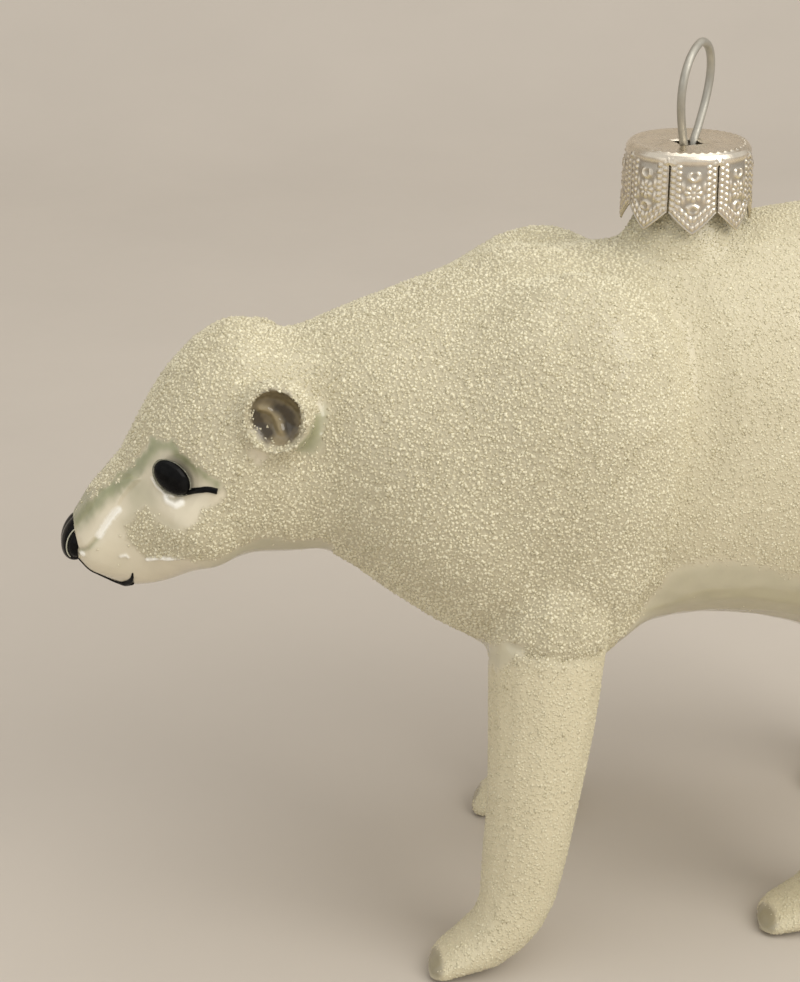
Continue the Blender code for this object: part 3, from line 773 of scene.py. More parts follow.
def crust_regions(skin):
    """For each face of the skin, the number of the crust group whose solid it lies on."""
    corners, faces, owner = [], [], []
    for number, nodes in enumerate(CRUST_GROUPS.values()):
        for node in nodes:
            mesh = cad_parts[node].data
            start = len(corners)
            corners.extend(vert.co for vert in mesh.vertices)
            faces.extend([start + index for index in face.vertices] for face in mesh.polygons)
            owner.extend([number] * len(mesh.polygons))
    tree = BVHTree.FromPolygons(corners, faces)
    return np.array([owner[tree.find_nearest(face.center)[2]] for face in skin.polygons])


def region_mesh(skin, regions, number):
    """The part of the skin in one crust group, unwrapped on its own."""
    bm = bmesh.new()
    bm.from_mesh(skin)
    bm.faces.ensure_lookup_table()
    others = [bm.faces[index] for index in np.flatnonzero(regions != number)]
    bmesh.ops.delete(bm, geom=others, context="FACES")
    mesh = mesh_from(bm, "region")
    helper = placed("region", mesh)
    bpy.context.view_layer.objects.active = helper
    helper.select_set(True)
    bpy.ops.object.mode_set(mode="EDIT")
    bpy.ops.mesh.select_all(action="SELECT")
    bpy.ops.uv.smart_project(angle_limit=math.radians(66.0), island_margin=0.004)
    bpy.ops.object.mode_set(mode="OBJECT")
    bpy.data.objects.remove(helper)
    return mesh


def quad_corners(mesh):
    """Corner places, corner normals, corner map places and corner bareness of every face."""
    places, normals = vertex_arrays(mesh)
    bare = get_values(mesh, "bare")
    total = len(mesh.polygons)
    starts = np.empty(total, dtype=np.int32)
    sizes = np.empty(total, dtype=np.int32)
    mesh.polygons.foreach_get("loop_start", starts)
    mesh.polygons.foreach_get("loop_total", sizes)
    corner = np.empty(len(mesh.loops), dtype=np.int32)
    mesh.loops.foreach_get("vertex_index", corner)
    maps = np.empty(len(mesh.loops) * 2, dtype=np.float32)
    mesh.uv_layers[0].data.foreach_get("uv", maps)
    loops = starts[:, None] + np.minimum(np.arange(4), sizes[:, None] - 1)
    picked = corner[loops]
    return places[picked], normals[picked], maps.reshape(-1, 2)[loops].astype(float), bare[picked]


def quad_areas(corners):
    """Area of every face."""
    first = np.cross(corners[:, 1] - corners[:, 0], corners[:, 2] - corners[:, 0])
    second = np.cross(corners[:, 2] - corners[:, 0], corners[:, 3] - corners[:, 0])
    return (lengths(first) + lengths(second)) / 2


def blend_corners(values, across, along):
    """A value inside each face, mixed from its four corners."""
    if values.ndim == 3:
        across, along = across[:, None], along[:, None]
    low = values[:, 0] * (1 - across) + values[:, 1] * across
    high = values[:, 3] * (1 - across) + values[:, 2] * across
    return low * (1 - along) + high * along


def coarseness(places, settings):
    """How much wider than on the rump the granules are: most on the head."""
    head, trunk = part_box("neck")[0].x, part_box("trunk")[1].x
    return 1.0 + settings.coarse * fall(places[:, 0], head, trunk)


def calmness(places):
    """How fine and even the crust is: most on the legs, some on the flanks."""
    x, z = side_view(places, "trunk").T
    return np.maximum(fall(z, -18.0, -15.0), 0.6 * ramp(x, 3.0, 9.0))


def scatter(mesh, settings, dice):
    """Roots of the granules: their places, normals, map places and sizes."""
    corners, normals, maps, bare = quad_corners(mesh)
    spacing = settings.spacing * coarseness(corners[:, 0], settings)
    wanted = quad_areas(corners) / spacing**2
    count = np.floor(wanted + dice.random(len(wanted))).astype(int)
    face = np.repeat(np.arange(len(count)), count)
    across, along = dice.random(len(face)), dice.random(len(face))
    places = blend_corners(corners[face], across, along)
    directions = units(blend_corners(normals[face], across, along))
    spots = blend_corners(maps[face], across, along)
    bareness = blend_corners(bare[face], across, along)
    kept = dice.random(len(face)) > bareness * BARE_LOSS + CRUST_LOSS
    kept &= (places[:, 2] > CRUST_HEIGHTS[0]) & (places[:, 2] < CRUST_HEIGHTS[1])
    return places[kept], directions[kept], spots[kept], bareness[kept]


def granule_sizes(places, bareness, settings, dice):
    """Width of each granule: coarse on the head, fine where the crust thins out."""
    width = settings.cover * settings.spacing * coarseness(places, settings)
    sizes = width * np.clip(np.exp(dice.normal(0.0, 0.2, len(places))), *GRAIN_SIZES)
    sizes *= 1.0 - 0.08 * calmness(places)
    return sizes * (1.0 - 0.25 * ramp(bareness, 0.2, 0.8))


def granule_axes(directions, calm, dice):
    """Three turned and slightly tipped axes for each granule."""
    tilt = GRAIN_TILT * (1.0 - 0.7 * calm)
    tipped = units(directions + tilt[:, None] * dice.normal(0.0, 1.0, directions.shape))
    aside = units(np.cross(tipped, dice.normal(0.0, 1.0, directions.shape)))
    return np.stack((aside, np.cross(tipped, aside), tipped), axis=1)


def granule_mesh(name, roots, template, settings, dice):
    """Join all granules of one region in one mesh with its map and tones."""
    places, directions, spots, bareness = roots
    corners, faces = template
    total = len(places)
    sizes = granule_sizes(places, bareness, settings, dice)
    shape = corners[None] * dice.uniform(0.8, 1.2, (total, 1, 3))
    shape = shape + dice.uniform(-GRAIN_CHIP, GRAIN_CHIP, (total, len(corners), 3))
    calm = calmness(places)
    lifted = shape + (0.0, 0.0, GRAIN_LIFT)
    lifted[:, :, 2] *= (1.0 - 0.5 * calm)[:, None]
    turned = np.einsum("nci,nij->ncj", lifted, granule_axes(directions, calm, dice))
    solid = places[:, None] + turned * sizes[:, None, None]
    mesh = bpy.data.meshes.new(name)
    mesh.vertices.add(total * len(corners))
    mesh.vertices.foreach_set("co", solid.astype(np.float32).ravel())
    picked = (faces[None] + np.arange(total)[:, None, None] * len(corners)).ravel()
    mesh.loops.add(len(picked))
    mesh.loops.foreach_set("vertex_index", picked.astype(np.int32))
    mesh.polygons.add(total * len(faces))
    mesh.polygons.foreach_set("loop_start", np.arange(0, len(picked), 3, dtype=np.int32))
    mesh.update(calc_edges=True)
    # Granules on the even crust of the legs and flanks are painted darker, shade standing in for
    # the self-shadowing their flatter chips lose; the rest of each tone differs at random.
    tones = 0.58 - 0.28 * calm + (0.26 - 0.16 * calm) * dice.normal(0.0, 1.0, total)
    set_values(mesh, "tone", np.repeat(np.clip(tones, 0.0, 1.0), len(corners)))
    patch = spots[:, None] + shape[:, :, :2] * PATCH
    layer = mesh.uv_layers.new(name="OFBake")
    layer.data.foreach_set("uv", patch.reshape(-1, 2)[picked].astype(np.float32).ravel())
    return mesh


def make_crust(settings):
    """Granules over the whole body, each region in pieces of a bounded number of faces."""
    skin = bpy.data.objects["glass_skin"].data
    regions = crust_regions(skin)
    material = crust_glass(settings)
    template = granule_template()
    for number, group in enumerate(CRUST_GROUPS):
        dice = np.random.default_rng(settings.seed + number)
        region = region_mesh(skin, regions, number)
        roots = scatter(region, settings, dice)
        bpy.data.meshes.remove(region)
        order = np.argsort(roots[0][:, 0])
        pieces = math.ceil(len(order) * len(template[1]) / PIECE_FACES)
        for piece, chosen in enumerate(np.array_split(order, pieces)):
            name = f"crust_{group}_{piece + 1}"
            part = tuple(values[chosen] for values in roots)
            mesh = granule_mesh(name, part, template, settings, dice)
            add_piece(name, mesh, material)


# ---------------------------------------------------------------- enamel

EYE_LEAN = math.radians(42.0)  # of the eye's long axis, down and back
EYE_TURN = math.radians(24.0)  # of the eye's face, forward
EYE_SHIFT = (0.1, 0.11, -0.08)  # the dome from its box in millimetres: back, inward and up
RIM_BEAD = 0.13 * MM
RIM_SHIFT = 0.1 * MM  # the glaze rim from the dome's widest ring, outward
LOWER_FRONT = math.radians(-100.0)  # where the rim is thickest
NOSE_SINK = Vector((1.26, 0.0, 0.06)) * MM  # from the middle of the nose's box into the muzzle
NOSE_RADII = (1.6 * MM, 2.75 * MM, 2.5 * MM)
NOSE_LEAN = math.radians(22.0)
NOSE_SEAM = 0.72  # how far from the middle plane the seams lie, where 1 is the pad's edge
SEAM_BEAD = 0.065 * MM
SEAM_STEPS = 16
# Painted lines on the left side, as (x, y outwards, z) from the eye in millimetres, then width.
EYE_LINE = (
    (0.3, 0.2, -1.5, 1.0), (1.1, 0.4, -1.45, 1.0), (1.8, 0.9, -1.15, 1.0), (2.5, 1.7, -0.85, 1.0),
    (3.2, 2.1, -0.72, 1.0), (4.0, 2.4, -0.85, 1.0),
)
MOUTH_LINE = (
    (-9.7, -6.3, -9.6, 0.36), (-9.2, -4.9, -10.0, 0.36), (-8.4, -4.2, -10.7, 0.36),
    (-7.4, -4.1, -11.4, 0.4), (-6.4, -5.3, -12.4, 0.6), (-5.4, -4.8, -12.8, 0.85),
    (-4.7, -3.9, -12.5, 1.1), (-4.1, -3.2, -12.1, 1.1),
)
MOUTH_TICK = (
    (-4.7, -3.9, -12.4, 1.2), (-4.3, -3.2, -12.0, 1.1), (-4.1, -2.4, -11.3, 0.6),
    (-4.0, -2.0, -10.5, 0.22),
)


def ball(name, radii, turn, place, rings=18):
    """A smooth ellipsoid, turned and set in place."""
    bm = bmesh.new()
    bmesh.ops.create_uvsphere(bm, u_segments=2 * rings, v_segments=rings, radius=1.0)
    bmesh.ops.scale(bm, vec=radii, verts=bm.verts)
    turn_and_move(bm, turn, place)
    return mesh_from(bm, name)


def eye_turn(side):
    """How the eye's dome lies: long axis down and back, facing a little forward."""
    lean = Matrix.Rotation(EYE_LEAN, 3, "Y")
    turn = Matrix.Rotation(EYE_TURN * side, 3, "Z")
    return turn @ lean


def eye_place(side):
    """The middle of an eye's dome, deep in its socket."""
    back, inward, up = EYE_SHIFT
    return middle("eye_" + side_name(side)) + Vector((back, -side * inward, up)) * MM


def make_eyes(settings, black, pale):
    """Two smooth domes of black enamel, each in a thin rim of clear glaze."""
    radii = (settings.eye_length, settings.eye_dome, settings.eye_height)
    for side in SIDES:
        name = side_name(side)
        dome = ball("eye_dome_" + name, radii, eye_turn(side), eye_place(side))
        add_piece("eye_dome_" + name, dome, black, ["eye_" + name])
        ring = ring_mesh("eye_rim_" + name, radii, eye_turn(side), eye_place(side), side)
        add_piece("eye_rim_" + name, ring, pale)


def ring_mesh(name, radii, turn, place, side):
    """A bead of glaze round an eye, thickest along its lower front."""
    bm = bmesh.new()
    bmesh.ops.create_circle(bm, segments=12, radius=RIM_BEAD)
    bmesh.ops.translate(bm, vec=(radii[0], 0.0, 0.0), verts=bm.verts)
    bmesh.ops.spin(
        bm, geom=bm.edges[:], cent=(0, 0, 0), axis=(0, 0, 1), angle=math.tau, steps=60,
        use_merge=True,
    )
    bmesh.ops.remove_doubles(bm, verts=bm.verts, dist=0.001 * MM)
    bmesh.ops.recalc_face_normals(bm, faces=bm.faces)
    turn_and_move(bm, Matrix.Rotation(math.pi / 2, 3, "X"), (0, 0, 0))
    for vert in bm.verts:
        around = math.atan2(vert.co.z, vert.co.x)
        middle_line = Vector((math.cos(around), 0.0, math.sin(around))) * radii[0]
        thick = 1.0 + 1.1 * math.exp(-((angle_between(around, LOWER_FRONT) / 0.75) ** 2))
        vert.co = middle_line + (vert.co - middle_line) * thick
    bmesh.ops.scale(bm, vec=(1.0, 1.0, radii[2] / radii[0]), verts=bm.verts)
    bmesh.ops.translate(bm, vec=(0.0, side * RIM_SHIFT, 0.0), verts=bm.verts)
    turn_and_move(bm, turn, place)
    return mesh_from(bm, name)


def angle_between(first, second):
    """The smaller turn from one direction to another."""
    return abs((first - second + math.pi) % math.tau - math.pi)


def make_nose(black, pale):
    """The nose pad of black enamel, with a seam of pale glaze down each side."""
    lean = Matrix.Rotation(NOSE_LEAN, 3, "Y")
    box = middle("nose")
    place = Vector((box.x, 0.0, box.z)) + NOSE_SINK
    pad = ball("nose_pad", NOSE_RADII, lean, place, 40)
    places, normals = vertex_arrays(pad)
    off = (np.abs(places[:, 1]) - NOSE_SEAM * NOSE_RADII[1]) / MM
    dent = 0.2 * bell(off, 0.2) + 0.12 * bell(places[:, 1], 0.4 * MM)
    set_places(pad, places - normals * dent[:, None] * MM)
    add_piece("nose_pad", pad, black, ["nose"])
    ring = math.sqrt(1.0 - NOSE_SEAM**2)
    for side in SIDES:
        path = []
        for step in range(SEAM_STEPS + 1):
            around = math.radians(-75.0 + 150.0 * step / SEAM_STEPS)
            spot = Vector((-ring * math.cos(around), side * NOSE_SEAM, ring * math.sin(around)))
            path.append(place + lean @ Vector([a * b for a, b in zip(spot, NOSE_RADII)]))
        name = "nose_seam_" + side_name(side)
        seam = tube(name, path, SEAM_BEAD, [1.0] * len(path), 2)
        add_piece(name, seam, pale)


def tube(name, path, radius, widths, sides):
    """A round rod along a path, as a mesh, whose thickness follows the widths."""
    curve = bpy.data.curves.new(name, "CURVE")
    curve.dimensions = "3D"
    curve.bevel_depth = radius
    curve.bevel_resolution = sides
    curve.use_fill_caps = True
    spline = curve.splines.new("POLY")
    spline.points.add(len(path) - 1)
    for point, place, width in zip(spline.points, path, widths):
        point.co = (*place, 1.0)
        point.radius = width
    mesh = taken_mesh(placed(name, curve))
    bpy.data.curves.remove(curve)
    for face in mesh.polygons:
        face.use_smooth = True
    return mesh


def painted_line(name, line, side, tree, settings):
    """A raised stroke of enamel laid on the skin along a path."""
    eye = middle("eye_left")
    path = smooth_path([Vector(point[:3]) for point in line], 6)
    known = np.linspace(0, 1, len(line))
    widths = np.interp(np.linspace(0, 1, len(path)), known, [point[3] for point in line])
    laid = []
    for x, y, z in path:
        place = Vector((eye.x + x * MM, side * (abs(eye.y) + y * MM), eye.z + z * MM))
        laid.append(tree.find_nearest(place)[0])
    return tube(name, laid, settings.line, widths, 2)


def smooth_path(points, parts):
    """A path through the points, rounded at each of them."""
    path = []
    ends = [points[0], *points, points[-1]]
    for before, start, end, after in zip(ends, ends[1:], ends[2:], ends[3:]):
        for step in range(parts):
            t = step / parts
            bend = (2 * before - 5 * start + 4 * end - after) * t * t
            twist = (3 * start - before - 3 * end + after) * t**3
            path.append(0.5 * (2 * start + (end - before) * t + bend + twist))
    return [*path, points[-1]]


def make_lines(settings, black):
    """The line behind each eye, and the mouth with its upturned corners."""
    skin = bpy.data.objects["glass_skin"]
    tree = BVHTree.FromObject(skin, bpy.context.evaluated_depsgraph_get())
    lines = {"eye_line": EYE_LINE, "mouth_line": MOUTH_LINE, "mouth_tick": MOUTH_TICK}
    for side in SIDES:
        for kind, line in lines.items():
            name = kind + "_" + side_name(side)
            mesh = painted_line(name, line, side, tree, settings)
            add_piece(name, mesh, black)


# ---------------------------------------------------------------- cap and hanger

CAP_AXIS = middle("cap")
CAP_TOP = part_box("cap")[1].z
CAP_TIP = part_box("cap")[0].z
CAP_HEIGHT = CAP_TOP - CAP_TIP
CAP_RADIUS = (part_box("cap")[1].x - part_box("cap")[0].x) / 2
FIRST_PETAL = math.radians(-101.3)
CAP_COLUMNS = 52  # columns of the mesh in one petal
# The cap's sheet from its hole out over the shoulder and down, as radius and height over the
# cap's top in millimetres, and the number of rows that lead there.
CAP_PROFILE = (
    (1.5, -0.34, 0), (1.75, -0.2, 3), (3.2, -0.3, 5), (4.6, -0.22, 5), (5.0, -0.14, 4),
    (5.5, -0.12, 7), (5.75, -0.3, 4), (5.95, -0.62, 5), (6.04, -1.2, 7), (6.06, -2.05, 10),
    (6.1, -5.75, 38), (6.18, -7.65, 20),
)
RIM_BEADS = 42  # beads round the edge of the cap's top
SLIT_TOP = CAP_TOP - 1.25 * MM
SKIRT_TOP = CAP_TOP - 1.1 * MM
BEAD = 0.55 * MM  # from bead to bead along a petal's border
EDGE_SLOPE = 0.78  # distance from a petal's lower edge, for each unit of height over it
BORDERS = ((0.42 * MM, 0.0, 0.85), (1.02 * MM, 0.5, 1.0))  # rows of beads: reach, shift, strength
HOLE_TURN = math.radians(53.0)
HOLE_EDGE = 1.5 * MM  # radius of the hole in the mesh before its edge is bent
HOLE_ZONE = 3.2 * MM  # radius of the part of the top that bends with it
PETAL_RISE = 1.9 * MM  # from the tip of a petal up to its sides


def cap_rows():
    """Every row of the cap's mesh, as (radius, height over the top)."""
    rows = [CAP_PROFILE[0][:2]]
    for start, end in zip(CAP_PROFILE, CAP_PROFILE[1:]):
        for step in range(1, end[2] + 1):
            t = step / end[2]
            rows.append([a + (b - a) * t for a, b in zip(start[:2], end[:2])])
    return [(radius * MM, drop * MM) for radius, drop in rows]


def petal_bottom(across):
    """Height of a petal's lower edge above its tip, for a place across it from -1 to 1."""
    side = np.clip(np.abs(across) * 1.08, 0.0, 1.0)
    return PETAL_RISE * side**1.12


def hole_radius(angle):
    """The four-pointed hole that the wire goes through."""
    sway = np.abs(np.sin(2.0 * (angle - HOLE_TURN)))
    return (1.85 - 0.75 * sway**0.6) * MM


def cap_relief(across, height, above, half):
    """How far the stamped ornament of a petal stands out, from 0 to 1."""
    side = (1.0 - np.abs(across)) * half
    along_side = side < above * EDGE_SLOPE
    to_edge = np.where(along_side, side, above * EDGE_SLOPE)
    run = np.where(along_side, height, np.abs(across) * half * 1.25)
    rows = np.zeros_like(to_edge)
    for reach, shift, strength in BORDERS:
        wave = np.cos(math.pi * (run / BEAD + shift)) ** 2
        band = np.clip(1.0 - ((to_edge - reach) / (0.25 * MM)) ** 2, 0.0, 1.0)
        rows = np.maximum(rows, band * (0.12 + 0.88 * wave) * strength)
    rib = 0.4 * bell(to_edge - 0.72 * MM, 0.07 * MM)
    edge = 0.35 * bell(to_edge, 0.12 * MM)
    return np.maximum.reduce([rows, rib, edge, flower(across * half, height)])


def flower(x, z):
    """A plain rosette between two pairs of curls."""
    x, dz = x / MM, (z - CAP_HEIGHT) / MM + 3.75
    radius = np.hypot(x, dz)
    turn = np.arctan2(x, dz)
    rays = bell(radius - 0.55, 0.26) * (0.5 + 0.5 * np.cos(8 * turn)) ** 0.7
    heart = 0.8 * bell(radius, 0.19)
    shape = np.maximum(rays, heart)
    for up in SIDES:
        ring = np.hypot(x, dz - up * 1.62)
        open_side = ramp(-up * (dz - up * 1.62), -0.46, -0.16)
        shape = np.maximum(shape, 0.95 * bell(ring - 0.44, 0.12) * open_side)
        for aside in SIDES:
            knob = np.hypot(x - aside * 0.46, dz - up * 1.42)
            shape = np.maximum(shape, 0.9 * bell(knob, 0.16))
            leaf = np.hypot((x - aside * 1.02) / 0.16, (dz - up * 0.62) / 0.36)
            shape = np.maximum(shape, 0.7 * bell(leaf, 1.0))
    return shape


def cap_grid(settings):
    """The cap's sheet as a spun grid, before it is stamped."""
    bm = bmesh.new()
    verts = [bm.verts.new((radius, 0.0, CAP_TOP + drop)) for radius, drop in cap_rows()]
    edges = [bm.edges.new(pair) for pair in zip(verts, verts[1:])]
    bmesh.ops.spin(
        bm, geom=[*verts, *edges], cent=(0, 0, 0), axis=(0, 0, 1), angle=math.tau,
        steps=settings.petals * CAP_COLUMNS, use_merge=True,
    )
    bmesh.ops.remove_doubles(bm, verts=bm.verts, dist=0.001 * MM)
    bmesh.ops.recalc_face_normals(bm, faces=bm.faces)
    bm.normal_update()
    return bm


def top_relief(radius, angle, on_top):
    """The ornament of the cap's top: a row of beads round its edge and rays round its hole."""
    band = np.clip(1.0 - ((radius / MM - 5.28) / 0.26) ** 2, 0.0, 1.0)
    worn = 0.45 + 0.35 * np.cos(angle + 0.9)
    beads = band * np.cos(angle * RIM_BEADS / 2) ** 2 * worn
    rays = bell(radius / MM - 2.35, 0.5) * np.cos(angle * 6) ** 2 * 0.5
    dents = 0.35 * np.sin(3.0 * angle + 0.6) * bell(radius / MM - 3.9, 0.8)
    return (beads + rays + dents) * on_top


def star_beads(across, height, half):
    """A small star at the top of each slit."""
    aside = (1.0 - np.abs(across)) * half / MM
    down = (height - CAP_HEIGHT) / MM + 1.0
    turn = np.arctan2(down, aside)
    far = np.hypot(aside, down) / (1.0 + 0.35 * np.cos(6 * turn))
    return 1.1 * bell(far, 0.27)


def make_cap(settings):
    """The stamped crown cap: a dished top, a rounded shoulder and eight beaded petals."""
    bm = cap_grid(settings)
    wide = math.tau / settings.petals
    half = math.pi * CAP_RADIUS / settings.petals
    info = np.array([(*v.co, *v.normal) for v in bm.verts])
    radius = np.hypot(info[:, 0], info[:, 1])
    angle = np.arctan2(info[:, 1], info[:, 0])
    number = np.round((angle - FIRST_PETAL) / wide)
    across = ((angle - FIRST_PETAL) - number * wide) / (wide / 2)
    normals = info[:, 3:]
    outward = np.where((normals[:, :2] * info[:, :2]).sum(axis=1) + normals[:, 2] < 0, -1.0, 1.0)
    normals = normals * outward[:, None]
    bottom = CAP_TIP + petal_bottom(across)
    part = np.clip((SKIRT_TOP - info[:, 2]) / (SKIRT_TOP - CAP_TIP), 0.0, 1.0)
    height = np.where(info[:, 2] < SKIRT_TOP, SKIRT_TOP - part * (SKIRT_TOP - bottom), info[:, 2])
    down = CAP_TOP - info[:, 2]
    on_top = ((info[:, 2] > CAP_TOP - 0.5 * MM) & (radius < 5.7 * MM)).astype(float)
    on_skirt = ramp(down, 0.75 * MM, 1.3 * MM)
    ornament = cap_relief(across, height - CAP_TIP, height - bottom, half) * on_skirt
    stars = star_beads(across, height - CAP_TIP, half) * (1.0 - on_top)
    ornament = np.maximum(ornament, stars) + top_relief(radius, angle, on_top)
    bulge = 0.14 * MM * np.cos(across * math.pi / 2) * ramp(down, 0.9 * MM, 2.4 * MM)
    lift = settings.relief * (ornament - 0.15) + bulge - 0.12 * MM * on_skirt
    places = info[:, :3] + normals * lift[:, None]
    places[:, 2] += height - info[:, 2]
    hole = hole_radius(angle)
    stretched = hole + (radius - HOLE_EDGE) / (HOLE_ZONE - HOLE_EDGE) * (HOLE_ZONE - hole)
    places[:, :2] *= np.where(radius < HOLE_ZONE, stretched / radius, 1.0)[:, None]
    for vert, place in zip(bm.verts, places):
        vert.co = place
    layer = bm.verts.layers.float.new("relief")
    for vert, value in zip(bm.verts, np.maximum(ornament, 0.8 * (1.0 - on_skirt))):
        vert[layer] = value
    cut_slits(bm, wide)
    bmesh.ops.translate(bm, vec=(CAP_AXIS.x, CAP_AXIS.y, 0.0), verts=bm.verts)
    mesh = mesh_from(bm, "crown_cap")
    mesh = applied(
        mesh, "crown_cap", "SOLIDIFY", thickness=settings.sheet, offset=-1.0, use_even_offset=False
    )
    add_piece("crown_cap", mesh, silver(settings), ["cap"])


def cut_slits(bm, wide):
    """Open the narrow cuts between the petals."""
    narrow = wide / CAP_COLUMNS * 1.02
    gone = []
    for face in bm.faces:
        spot = face.calc_center_median()
        angle = math.atan2(spot.y, spot.x) - FIRST_PETAL - wide / 2
        off = abs((angle + wide / 2) % wide - wide / 2)
        if off < narrow and spot.z < SLIT_TOP:
            gone.append(face)
    bmesh.ops.delete(bm, geom=gone, context="FACES")


LOOP_TURN = math.radians(53.2)
LOOP_HALF = 4.1 * MM  # half of the loop's width
LOOP_LEAN = 0.7 * MM  # how far the crown leans aside
LOOP_BASE = 79.3 * MM  # height at which the two ends of the wire meet
# Half of the loop from its foot to its crown, as shares of its half width and of its height.
LOOP_SHAPE = (
    (0.33, 0.02), (0.49, 0.12), (0.66, 0.24), (0.82, 0.37), (0.93, 0.51), (0.95, 0.64),
    (0.87, 0.77), (0.67, 0.885), (0.36, 0.965),
)
# The spread foot in the spout, as distance from the axis and height over the floor in millimetres.
LOOP_FEET = ((2.55, 73.5), (1.75, 75.4), (1.05, 77.6))


def loop_points(settings):
    """The wire's middle line, from one spread foot up round the loop and down again."""
    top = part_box("hanger")[1].z - settings.wire
    rise = top - LOOP_BASE
    half = [(w * MM, z * MM) for w, z in LOOP_FEET]
    half += [(LOOP_HALF * w, LOOP_BASE + h * rise) for w, h in LOOP_SHAPE]
    path = [*half, (0.0, top), *[(-w, z) for w, z in reversed(half)]]
    along = Vector((math.cos(LOOP_TURN), math.sin(LOOP_TURN), 0.0))
    square = Vector((math.sin(LOOP_TURN), -math.cos(LOOP_TURN), 0.0))
    axis = Vector((CAP_AXIS.x, CAP_AXIS.y, 0.0))
    for w, z in path:
        lean = LOOP_LEAN * max(0.0, (z - LOOP_BASE) / rise)
        yield axis + along * w + square * lean + Vector((0.0, 0.0, z))


def make_hanger(settings):
    """The bent wire that hangs the ornament."""
    path = smooth_path(list(loop_points(settings)), 8)
    mesh = tube("wire_loop", path, settings.wire, [1.0] * len(path), 5)
    add_piece("wire_loop", mesh, wire_metal(settings), ["hanger"])


# ---------------------------------------------------------------- materials


def tinted(colour, factor):
    """A colour made darker or lighter."""
    return tuple(factor * part for part in colour)


class Shader:
    """A material under construction."""

    def __init__(self, name):
        self.material = bpy.data.materials.new(name)
        self.material.use_nodes = True
        self.tree = self.material.node_tree
        self.surface = self.tree.nodes["Principled BSDF"]
        self.space = self.tree.nodes.new("ShaderNodeTexCoord").outputs["Object"]

    def link(self, source, target):
        """Join two sockets."""
        self.tree.links.new(source, target)

    def node(self, kind, **numbers):
        """A new node with plain numbers on its sockets."""
        node = self.tree.nodes.new("ShaderNode" + kind)
        for key, value in numbers.items():
            node.inputs[key.replace("_", " ")].default_value = value
        return node

    def noise(self, size, detail=3.0, roughness=0.55):
        """Smooth noise whose features are about size across."""
        node = self.node("TexNoise", Scale=1.0 / size, Detail=detail, Roughness=roughness)
        self.link(self.space, node.inputs["Vector"])
        return node.outputs["Fac"]

    def attribute(self, name):
        """A number that the mesh carries."""
        node = self.node("Attribute")
        node.attribute_name = name
        return node.outputs["Fac"]

    def spread(self, source, low, high, start=0.3, end=0.7):
        """Stretch a value onto another range."""
        node = self.node("MapRange", From_Min=start, From_Max=end, To_Min=low, To_Max=high)
        self.link(source, node.inputs["Value"])
        return node.outputs["Result"]

    def mix(self, factor, first, second):
        """Mix two colours, each a socket or a plain colour."""
        node = self.node("Mix")
        node.data_type = "RGBA"
        self.link(factor, node.inputs["Factor"])
        for value, key in ((first, "A"), (second, "B")):
            socket = next(s for s in node.inputs if s.name == key and s.type == "RGBA")
            if isinstance(value, bpy.types.NodeSocket):
                self.link(value, socket)
            else:
                socket.default_value = (*value, 1.0)
        return next(s for s in node.outputs if s.type == "RGBA")

    def mottle(self, size, first, second, share=1.0, detail=3.0):
        """Two colours mixed by smooth noise, up to a share of the second."""
        return self.mix(self.spread(self.noise(size, detail), 0.0, share), first, second)

    def sum(self, first, second, kind="ADD"):
        """Two numbers added, or combined in another way."""
        node = self.node("Math")
        node.operation = kind
        self.link(first, node.inputs[0])
        if isinstance(second, bpy.types.NodeSocket):
            self.link(second, node.inputs[1])
        else:
            node.inputs[1].default_value = second
        return node.outputs["Value"]

    def bump(self, height, strength, distance):
        """Fine relief on the surface."""
        node = self.node("Bump", Strength=strength, Distance=distance)
        self.link(height, node.inputs["Height"])
        self.link(node.outputs["Normal"], self.surface.inputs["Normal"])

    def set(self, **values):
        """Set plain numbers on the surface's own sockets."""
        for key, value in values.items():
            self.surface.inputs[key.replace("_", " ")].default_value = value

    def colour(self, source):
        """Drive the surface's colour."""
        self.link(source, self.surface.inputs["Base Color"])

    def roughness(self, source, low, high, start=0.3, end=0.7):
        """Drive the surface's roughness, over a range."""
        spread = self.spread(source, low, high, start, end)
        self.link(spread, self.surface.inputs["Roughness"])


